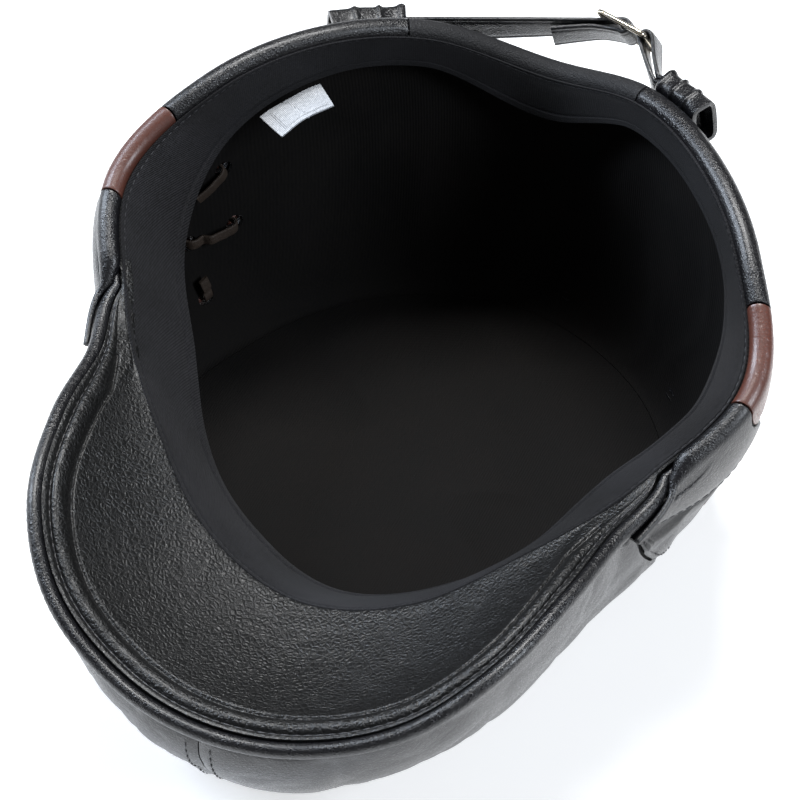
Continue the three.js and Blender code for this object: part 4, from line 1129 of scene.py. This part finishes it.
# %% Back binding
binding_gap = math.degrees(EDGE_GAP / HEAD_RADIUS)
binding_surface = rolled_surface(
    1,
    lambda depth: LOOP_MOUTHS[1] + binding_gap + 0 * depth,
    lambda depth: 360 - LOOP_MOUTHS[-1] - binding_gap + 0 * depth,
    lambda angle: LOOP_BAND_HEIGHT + 0 * angle,
    band_puff,
)
make_rolled("back_binding_hide", ["back_binding"], BINDING_LEATHER, 110, 40, binding_surface)

# %% [markdown]
# ## Strap loops
# A short sleeve of leather stands outside each end of the binding, and the strap runs into it. The
# sleeve is gathered, so rings of leather stand up round it at its ends and its middle.

# %% Loops
STRAP_WIDTH = 12
STRAP_THICKNESS = 1.6
STRAP_CLEARANCE = 0.8
LOOP_LENGTHS = {-1: 24, 1: 20}
LOOP_DROPS = {-1: 11, 1: 6}
LOOP_RIB = 0.8
PASSAGE_HEIGHT = STRAP_WIDTH + 2 * STRAP_CLEARANCE
PASSAGE_DEPTH = 2 * STRAP_THICKNESS + SEAM_GAP + 2 * STRAP_CLEARANCE
LOOP_STAND = 2 * BAND_GAP + 2 * LEATHER + LOOP_RIB + PASSAGE_DEPTH / 2


def in_loop(angle, out, up):
    """A point in a loop, from its middle line: out from the cap and up along the wall."""
    angle, out, up = np.broadcast_arrays(np.asarray(angle, float), np.asarray(out, float), np.asarray(up, float))
    level = level_at_depth(angle, np.where(signed(angle) < 0, LOOP_DROPS[-1], LOOP_DROPS[1]))
    near = beside_wall(angle, level, 0.0, 0)
    away = beside_wall(angle, level, -1.0, 0)
    out_reach = away[0] - near[0]
    out_height = away[1] - near[1]
    reach = near[0] + out_reach * (LOOP_STAND + out) - out_height * up
    height = near[1] + out_height * (LOOP_STAND + out) + out_reach * up
    return place(angle, reach, height)


def reach_of_mouth(side):
    mouth = in_loop(side * LOOP_MOUTHS[side], 0, 0) / MM
    return math.hypot(mouth[0] - CENTRE_X, mouth[1] - CENTRE_Y)


loop_mouth = in_loop(LOOP_MOUTHS[1], 0, 0)


def rounded(value, squareness=0.35):
    return np.sign(value) * np.abs(value) ** squareness


def strap_loop(word, side):
    loop_turn = math.degrees(LOOP_LENGTHS[side] / reach_of_mouth(side))

    def surface(u, v):
        share = u if side > 0 else 1 - u
        angle = side * (LOOP_MOUTHS[side] - loop_turn * share)
        turn = 2 * math.pi * v
        ring = bell(share, 0.05, 0.06) + 0.8 * bell(share, 0.34, 0.035) + 0.6 * bell(share, 0.66, 0.04)
        soft = 0.12 * np.sin(turn * 2 + share * 9)
        grow = LEATHER + LOOP_RIB * (ring + 0.5 * smoothstep(share, 0.75, 1.0)) + soft
        out = (PASSAGE_DEPTH / 2 + grow) * rounded(np.cos(turn), 0.5)
        up = (PASSAGE_HEIGHT / 2 + grow) * rounded(np.sin(turn), 0.5)
        return in_loop(angle, out, up)

    piece = grid_piece(f"strap_loop_{word}_hide", 70, 72, surface)
    merge(piece)
    mesh = bmesh.new()
    mesh.from_mesh(piece.data)
    bmesh.ops.recalc_face_normals(mesh, faces=mesh.faces)
    centre = sum((vertex.co for vertex in mesh.verts), Vector()) / len(mesh.verts)
    outward = sum(face.normal.dot(face.calc_center_median() - centre) for face in mesh.faces)
    if outward < 0:
        bmesh.ops.reverse_faces(mesh, faces=mesh.faces)
    mesh.to_mesh(piece.data)
    mesh.free()
    thicken(piece, LEATHER, edge=0.4)
    return finish(piece, [f"strap_loop_{word}"], BLACK_LEATHER)


for word, side in (("left", -1), ("right", 1)):
    strap_loop(word, side)

# %% [markdown]
# ## Strap and buckle
# The long strap leaves the left loop, goes over the buckle's first bar, round the middle one and
# back. A short strap holds the buckle's last bar and runs, doubled, into the right loop. Each is a
# ribbon that follows a route of points, each with the direction of the ribbon's width.

# %% Buckle directions
BUCKLE_WIRE_RADIUS = 0.9
BUCKLE_PITCH = 8.4
BUCKLE_ANGLE = 170
BUCKLE_STAND = 10
BUCKLE_LIFT = 5
BUCKLE_LEAN = 33
BUCKLE_TURN = -14.6
STRAP_TAIL = 14

buckle_middle = place(BUCKLE_ANGLE, reach_of_mouth(1) + BUCKLE_STAND, loop_mouth[2] / MM + BUCKLE_LIFT)
buckle_along = np.array((math.cos(math.radians(BUCKLE_TURN)), math.sin(math.radians(BUCKLE_TURN)), 0.0))
lean = Matrix.Rotation(math.radians(BUCKLE_LEAN), 3, Vector(buckle_along))
buckle_across = np.array(lean @ Vector((0, 0, 1)))
buckle_face = np.cross(buckle_along, buckle_across)
buckle_half = (STRAP_WIDTH + 2 * STRAP_CLEARANCE + 2 * BUCKLE_WIRE_RADIUS) / 2


def in_buckle(along, across, face):
    return buckle_middle + (along * buckle_along + across * buckle_across + face * buckle_face) * MM


WRAP_RADIUS = BUCKLE_WIRE_RADIUS + SEAM_GAP + STRAP_THICKNESS / 2
LAYER_STEP = STRAP_THICKNESS + SEAM_GAP


def on_bar(bar, turn, radius):
    """A stop of a strap that lies on a buckle bar."""
    turn = math.radians(turn)
    return in_buckle(bar + radius * math.cos(turn), 0, radius * math.sin(turn)), buckle_across


def wrap(bar, start, end, radius, steps):
    """Stops of a strap that turns round a buckle bar."""
    return [on_bar(bar, turn, radius) for turn in np.linspace(start, end, steps + 1)]


def corner_at(bar, comes, leaves, radius):
    """The corner of a strap that comes to a bar at one turn and leaves it at another."""
    return on_bar(bar, (comes + leaves) / 2, radius / math.cos(math.radians((comes - leaves) / 2)))


def loop_stop(angle, out):
    return in_loop(angle, out, 0), (in_loop(angle, 0, 1) - in_loop(angle, 0, 0)) / MM


def turn_towards(point, bar):
    away = point - in_buckle(bar, 0, 0)
    return math.degrees(math.atan2(away @ buckle_face, away @ buckle_along))


# %% Smooth routes
def smooth_route(stops, steps):
    """A route of more points on one smooth curve through the stops."""
    points = [stop[0] for stop in stops]
    points = [2 * points[0] - points[1]] + points + [2 * points[-1] - points[-2]]
    route = []
    last = len(stops) - 1
    for t in np.linspace(0, last, steps + 1):
        k = min(int(t), last - 1)
        p0, p1, p2, p3 = points[k:k + 4]
        gaps = [max(np.linalg.norm(b - a) ** 0.5, 1e-6) for a, b in ((p0, p1), (p1, p2), (p2, p3))]
        start = (p1 - p0) / gaps[0] - (p2 - p0) / (gaps[0] + gaps[1]) + (p2 - p1) / gaps[1]
        end = (p2 - p1) / gaps[1] - (p3 - p1) / (gaps[1] + gaps[2]) + (p3 - p2) / gaps[2]
        start, end = start * gaps[1], end * gaps[1]
        s = t - k
        point = (2 * s**3 - 3 * s**2 + 1) * p1 + (s**3 - 2 * s**2 + s) * start
        point = point + (3 * s**2 - 2 * s**3) * p2 + (s**3 - s**2) * end
        across = stops[k][1] * (1 - s) + stops[k + 1][1] * s
        route.append((point, across))
    return route


def ribbon_piece(name, stops, width, thickness, nodes, material, steps=160, sides=28, profile=None):
    """A flat ribbon with rounded edges along a route of stops."""
    fine = smooth_route(stops, steps)
    points = np.array([stop[0] for stop in fine])
    across, up = directions(points, np.array([stop[1] for stop in fine]))

    def section(u, turn):
        flat = width / 2 * rounded(np.cos(turn), 0.45)
        thick = thickness / 2 * rounded(np.sin(turn), 0.45)
        if profile:
            thick = thick * profile(flat)
        return flat, thick

    piece = tube_piece(name, steps, sides, points, across, up, section, angle=0.01)
    return finish(piece, nodes, material, 50)


# %% Strap
left_mouth = -LOOP_MOUTHS[-1]
mouth = loop_stop(left_mouth, 0)
arrive = turn_towards(mouth[0], -BUCKLE_PITCH) - 90
crossing = math.degrees(math.asin(2 * WRAP_RADIUS / BUCKLE_PITCH))
leaving = 90 + math.degrees(math.asin(LAYER_STEP / BUCKLE_PITCH))
over_first = corner_at(-BUCKLE_PITCH, arrive, 90 - crossing, WRAP_RADIUS)


def between(share):
    return lerp(mouth[0], over_first[0], share), lerp(mouth[1], buckle_across, share)


free_stops = [
    loop_stop(left_mouth + 8, 0), loop_stop(left_mouth + 4, 0), mouth,
    between(0.3), between(0.65), over_first,
]
round_middle = wrap(0, 270 - crossing, 360 + leaving, WRAP_RADIUS, 8)
back_over = corner_at(-BUCKLE_PITCH, leaving, arrive, WRAP_RADIUS + LAYER_STEP)
tail_way = mouth[0] - over_first[0]
tail_way = tail_way / np.linalg.norm(tail_way)
tail = [
    (
        back_over[0] + tail_way * share * STRAP_TAIL * MM + buckle_face * share * share * MM,
        lerp(buckle_across, mouth[1], 0.3 * share),
    )
    for share in (0.5, 1)
]
strap_stops = smooth_route(free_stops, 15) + round_middle + [back_over] + tail


def stitched_edge(flat):
    """A strap is a little thinner at the two stitched lines near its edges."""
    return 1 - 0.28 * bell(np.abs(flat), STRAP_WIDTH / 2 - 1.7, 0.45)


ribbon_piece("strap_hide", strap_stops, STRAP_WIDTH, STRAP_THICKNESS, ["strap"], BLACK_LEATHER,
             360, 48, stitched_edge)

# %% Short strap
towards = turn_towards(loop_mouth, BUCKLE_PITCH)
round_last = wrap(BUCKLE_PITCH, towards + 90, towards + 270, WRAP_RADIUS, 7)


def leg(out, last):
    places = [LOOP_MOUTHS[1] + further for further in (-8, -4, 0, 1.6)]
    return smooth_route([loop_stop(angle, out) for angle in places] + [last], 8)


near_leg = leg(-LAYER_STEP / 2, round_last[0])
far_leg = leg(LAYER_STEP / 2, round_last[-1])[::-1]
ribbon_piece("strap_anchor_hide", near_leg + round_last[1:-1] + far_leg, STRAP_WIDTH, STRAP_THICKNESS,
             ["strap_anchor"], BLACK_LEATHER, 260, 48, stitched_edge)


# %% Buckle
def buckle_frame():
    corner = 1.6 * BUCKLE_WIRE_RADIUS
    middle = []
    out = []
    corners = ((1, 1), (-1, 1), (-1, -1), (1, -1))
    for i, (along, across) in enumerate(corners):
        for step in range(9):
            turn = (i + step / 8) * math.pi / 2
            way = (math.cos(turn), math.sin(turn))
            at = (along * (BUCKLE_PITCH - corner) + corner * way[0], across * (buckle_half - corner) + corner * way[1])
            middle.append(in_buckle(at[0], at[1], 0))
            out.append(way[0] * buckle_along + way[1] * buckle_across)
    middle.append(middle[0])
    out.append(out[0])
    return np.array(middle), np.array(out)


wire, wire_out = buckle_frame()
wire_face = np.tile(buckle_face, (len(wire), 1))
frame_wire = tube_piece("buckle_frame", 144, 20, wire, wire_out, wire_face, round_section(BUCKLE_WIRE_RADIUS), True)
bar_line = np.array([in_buckle(0, across, 0) for across in np.linspace(-buckle_half, buckle_half, 9)])
bar_wire = tube_piece(
    "buckle_bar", 24, 20, bar_line, np.tile(buckle_along, (9, 1)), np.tile(buckle_face, (9, 1)),
    round_section(0.96 * BUCKLE_WIRE_RADIUS),
)
bpy.ops.object.select_all(action="DESELECT")
bar_wire.select_set(True)
frame_wire.select_set(True)
bpy.context.view_layer.objects.active = frame_wire
bpy.ops.object.join()
frame_wire.name = "buckle_wire"
finish(frame_wire, ["buckle"], PALE_METAL)

# %% [markdown]
# ## Laces
# A flat cut lace goes out through one hole and in through the next, over the brown patch and back
# inside, where it crosses the lining.

# %% Lace routes
LACE_WIDTH = 3.5
LACE_THICKNESS = 1.0
LACE_ARCH = 3
LACE_SLACK = 1.3
HOLE_FLAT = LACE_HOLE_RADIUS * math.cos(math.pi / 8)
HALF_CHORD = math.sqrt(HOLE_FLAT**2 - (LACE_WIDTH / 2) ** 2)
INSIDE_FACE = LEATHER + BAND_GAP + LINING_CLOTH
OUTSIDE_FACE = BAND_GAP + LEATHER


def lace_clear(outward):
    return 2 * SEAM_GAP + LACE_THICKNESS / 2 + (0 if outward else LACE_SLACK)


def turn_in(hole, way, outward):
    """Stops where the lace bends into a hole, lying against the edge that it comes over."""
    flat = way - (way @ hole["out"]) * hole["out"]
    flat = flat / np.linalg.norm(flat)
    across = np.cross(flat, hole["out"])
    bend = lace_clear(outward)
    face = OUTSIDE_FACE if outward else -INSIDE_FACE
    sign = 1 if outward else -1

    def at(sideways, out):
        return hole["middle"] + (flat * sideways + hole["out"] * out) * MM

    stops = [(at(HALF_CHORD + 2.4, face + sign * bend), across)]
    for turn in (90, 45, 0):
        sideways = HALF_CHORD - bend * math.cos(math.radians(turn))
        stops.append((at(sideways, face + sign * bend * math.sin(math.radians(turn))), across))
    return stops


def lace_run(start, end, outward):
    way = end["middle"] - start["middle"]
    leave = turn_in(start, way, outward)[::-1]
    come = turn_in(end, -way, outward)
    face = OUTSIDE_FACE + lace_clear(True) if outward else -INSIDE_FACE - lace_clear(False)
    arch = LACE_ARCH if outward else -1
    middle = []
    for share in (0.35, 0.5, 0.65):
        angle = lerp(start["angle"], end["angle"], share)
        depth = lerp(start["depth"], end["depth"], share)
        middle.append((wall_point(angle, depth, face + arch * 4 * share * (1 - share)), leave[0][1].copy()))
    return leave + middle + come


def lace_route(side):
    holes = holes_of(side)
    start = dict(holes[0])
    start["depth"] = holes[0]["depth"] + LACE_HOLE_RADIUS
    start["angle"] = side * (float(patch_angle(start["depth"])) - 0.75 * patch_spread(start["depth"]))
    start["middle"] = wall_point(start["angle"], start["depth"], 0)
    end = dict(holes[1])
    end["depth"] = holes[1]["depth"] + 3 * LACE_HOLE_RADIUS
    end["middle"] = wall_point(end["angle"], end["depth"], 0)
    route = lace_run(start, holes[0], False)[4:]
    route += lace_run(holes[0], holes[1], True)
    route += lace_run(holes[1], holes[2], False)
    route += lace_run(holes[2], holes[3], True)
    route += lace_run(holes[3], end, False)[:-4]
    across = None
    even = []
    for point, width_way in route:
        if across is not None and across @ width_way < 0:
            width_way = -width_way
        across = width_way
        even.append((point, width_way))
    return even


for word, side in (("left", -1), ("right", 1)):
    ribbon_piece(f"lace_{word}_cut", lace_route(side), LACE_WIDTH, LACE_THICKNESS, [f"lace_{word}"],
                 LACE_LEATHER, 320, 20)

# %% [markdown]
# ## Stitches
# Rows of thread hold the pieces together. One stitch is a small flattened bead of thread. A row is
# the same stitch set at an even pitch along a line on the leather, all joined into one mesh.

# %% One stitch and its rows
bpy.ops.object.select_all(action="DESELECT")
bpy.ops.mesh.primitive_uv_sphere_add(segments=6, ring_count=4, radius=0.5)
bead = bpy.context.object
BEAD_POINTS = np.array([vertex.co for vertex in bead.data.vertices])
BEAD_FACES = [tuple(face.vertices) for face in bead.data.polygons]
bpy.data.objects.remove(bead, do_unlink=True)


def stitch_row(name, lines, material, pitch=3.2, length=2.5, width=0.5, high=0.4):
    """Stitches along lines, each given as points in metres and the directions out of the leather."""
    vertices = []
    faces = []
    for points, ups in lines:
        steps = np.linalg.norm(np.diff(points, axis=0), axis=1)
        travelled = np.concatenate([[0], np.cumsum(steps)])
        along_all = np.gradient(points, axis=0)
        for at in np.arange(pitch / 2 * MM, travelled[-1], pitch * MM):
            centre = np.array([np.interp(at, travelled, points[:, axis]) for axis in range(3)])
            along = np.array([np.interp(at, travelled, along_all[:, axis]) for axis in range(3)])
            up = np.array([np.interp(at, travelled, ups[:, axis]) for axis in range(3)])
            along = along / np.linalg.norm(along)
            up = up - (up @ along) * along
            up = up / np.linalg.norm(up)
            beside = np.cross(along, up)
            start = len(vertices)
            for x, y, z in BEAD_POINTS:
                vertices.append(centre + (z * length * along + x * width * beside + y * high * up) * MM)
            faces += [tuple(start + corner for corner in face) for face in BEAD_FACES]
    mesh = bpy.data.meshes.new(name)
    mesh.from_pydata([tuple(point) for point in vertices], [], faces)
    piece = bpy.data.objects.new(name, mesh)
    bpy.context.scene.collection.objects.link(piece)
    return finish(piece, [], material, 60)


def line_on(surface, u, v, out=0.12):
    """A line of points just over surface(u, v), with the surface's own normals."""
    u, v = np.broadcast_arrays(np.asarray(u, float), np.asarray(v, float))
    nudge = 0.002
    beside = surface(u + nudge, v) - surface(u - nudge, v)
    above = surface(u, v + nudge) - surface(u, v - nudge)
    ups = np.cross(beside, above)
    ups = ups / np.linalg.norm(ups, axis=1)[:, None]
    return surface(u, v) + ups * out * MM, ups


# %% Stitches on the brim
turns = np.linspace(-WING_ANGLE + 1, WING_ANGLE - 1, 300)


def brim_row(from_edge):
    fit = np.minimum((brim_ends(turns)[1] - brim_ends(turns)[0]) / 18, 1)
    reach, height = brim_surface_at(turns, from_edge * fit)
    points = place(turns, reach, height + 0.12)
    return points, np.tile((0.0, 0.0, 1.0), (len(points), 1))


stitch_row("brim_edge_stitches", [brim_row(2.2)], BLACK_THREAD)

# %% Stitches on bands and patches
count = 200
along = np.linspace(0.02, 0.98, count)


def low_row(surface, whole, inset):
    """A row at a distance from a rolled piece's low edge."""
    share = inset / whole * (1 - ROLL_SHARE)
    return line_on(surface, along, share + 0 * along, 0.75)


band_lines = []
patch_lines = []
for word, side in (("left", -1), ("right", 1)):
    back_band = rolled_surface(
        side, lambda depth: patch_edge(depth, 1, EDGE_GAP), lambda depth: LOOP_MOUTHS[side] + 0 * depth,
        band_height, band_puff,
    )
    front_band = rolled_surface(
        side, lambda depth: FRONT_BAND_ANGLE + 0 * depth, lambda depth: patch_edge(depth, -1, EDGE_GAP),
        front_height, front_puff, (70.8, 77.5),
    )
    patch = rolled_surface(
        side, lambda depth: patch_edge(depth, -1, 0), lambda depth: patch_edge(depth, 1, 0),
        lambda angle: PATCH_DEPTH * CROWN_DEPTH + 0 * angle, patch_puff,
    )
    band_lines.append(low_row(back_band, 18, 1.6))
    band_lines.append(low_row(front_band, BAND_HEIGHT, 2.3))
    whole = PATCH_DEPTH * CROWN_DEPTH
    patch_lines.append(low_row(patch, whole, 2.3))
    for edge in (0.075, 0.925):
        patch_lines.append(line_on(patch, edge, np.linspace(0.03, 0.66, count), 0.75))
stitch_row("band_stitches", band_lines, BLACK_THREAD)
stitch_row("patch_stitches", patch_lines, BROWN_THREAD)


# %% Stitches beside the crown's seams
def crown_row(side, beside_mm):
    """Stitches on one side of the seam under the brim."""
    level = np.linspace(0.04, 0.8, count)
    angle = side * math.degrees(beside_mm / (HEAD_RADIUS * 1.5)) + 0 * level
    reach, height = beside_wall(angle, level, hide_form(angle, level, 3) - 0.15, 1)
    points = place(angle, reach, height)
    outward = place(angle, reach + 1, height) - points
    return points, outward / MM


def side_row(side, over):
    """Stitches along the seam between a crown side and the wall under it."""
    angle = side * np.linspace(66, 176, 260)
    level = seam_level(angle) + over
    reach, height = beside_wall(angle, level, hide_form(angle, level, 3) - 0.15, 1)
    points = place(angle, reach, height)
    further = place(angle, *beside_wall(angle, level, -1.0, 1))
    return points, (further - points) / MM


crown_lines = [crown_row(side, 3.4) for side in (-1, 1)]
crown_lines += [side_row(side, over) for side in (-1, 1) for over in (-0.035,)]
stitch_row("crown_stitches", crown_lines, BLACK_THREAD)

# %% Cloth areas
# The area of one side of each cloth piece, as it lies in the cap
def cloth_area(piece):
    """Half the area of all faces, which is the area of one side of a thin sheet."""
    return sum(face.area for face in piece.data.polygons) / 2


for piece in (lining, lining_top, sweatband, label):
    print(piece.name, "area", round(cloth_area(piece), 5))

# %% Stitches on the sweatband
around = np.linspace(0.001, 0.999, 700)
sweat_lines = [line_on(sweatband_surface, around, down + 0 * around, 0.1) for down in (0.07, 0.86)]
stitch_row("sweatband_stitches", sweat_lines, BLACK_THREAD, 2.6, 1.9, 0.4, 0.3)

# %% [markdown]
# ## Floor, light and camera
# A pale floor and a bright, even room give the leather something to reflect. Wide lamps overhead
# put the long highlights on its rolls, and the camera looks down from the front right.

# %% Floor
bpy.ops.object.select_all(action="DESELECT")
bpy.ops.mesh.primitive_plane_add(size=6, location=(0, 0, -0.0002))
floor = bpy.context.object
floor.name = "floor"
floor_material, floor_tree, floor_shader, floor_where = new_material("pale floor")
speckle = node(floor_tree, "ShaderNodeTexNoise", None, Vector=floor_where.outputs["Object"], Scale=40.0, Detail=2.0)
floor_tree.links.new(
    blend(floor_tree, speckle.outputs["Fac"], colour(0.9, 0.9, 0.9), colour(0.93, 0.93, 0.93)),
    floor_shader.inputs["Base Color"],
)
floor_shader.inputs["Roughness"].default_value = 0.7
floor_shader.inputs["Emission Color"].default_value = colour(1, 1, 1)
floor_shader.inputs["Emission Strength"].default_value = 0.5
floor.data.materials.append(floor_material)


# %% Light
def softbox(name, size, power, at, target=(0.0, 0.0, 0.05), tint=(1.0, 1.0, 1.0)):
    light = bpy.data.lights.new(name, "AREA")
    light.shape = "RECTANGLE"
    light.size, light.size_y = size
    light.energy = power
    light.color = tint
    lamp = bpy.data.objects.new(name, light)
    lamp.location = at
    lamp.rotation_euler = (Vector(target) - Vector(at)).to_track_quat("-Z", "Y").to_euler()
    bpy.context.scene.collection.objects.link(lamp)


softbox("overhead", (0.5, 0.3), 12, (-0.15, 0.3, 1.1))
softbox("left_window", (0.2, 0.7), 12, (-0.9, -0.05, 0.75), tint=(0.78, 0.87, 1.0))
softbox("right_window", (0.2, 0.5), 7, (0.85, -0.1, 0.75), tint=(0.86, 0.92, 1.0))
world = bpy.data.worlds.new("studio")
world.use_nodes = True
world.node_tree.nodes["Background"].inputs["Color"].default_value = colour(1, 1, 1)
world.node_tree.nodes["Background"].inputs["Strength"].default_value = 0.12
bpy.context.scene.world = world
bpy.context.scene.view_settings.view_transform = "Standard"

# %% Camera
TARGET = Vector((0.00197, 0.00019, 0.062))
AZIMUTH = math.radians(24.7)
ELEVATION = math.radians(50)
DISTANCE = 0.78
towards_camera = Vector((
    math.sin(AZIMUTH) * math.cos(ELEVATION), -math.cos(AZIMUTH) * math.cos(ELEVATION), math.sin(ELEVATION),
))
lens = bpy.data.cameras.new("camera")
lens.sensor_width = 36
lens.lens = 119.25
camera = bpy.data.objects.new("camera", lens)
camera.location = TARGET + towards_camera * DISTANCE
camera.rotation_euler = (-towards_camera).to_track_quat("-Z", "Y").to_euler()
bpy.context.scene.collection.objects.link(camera)
bpy.context.scene.camera = camera
print("camera at", [round(value, 3) for value in camera.location])
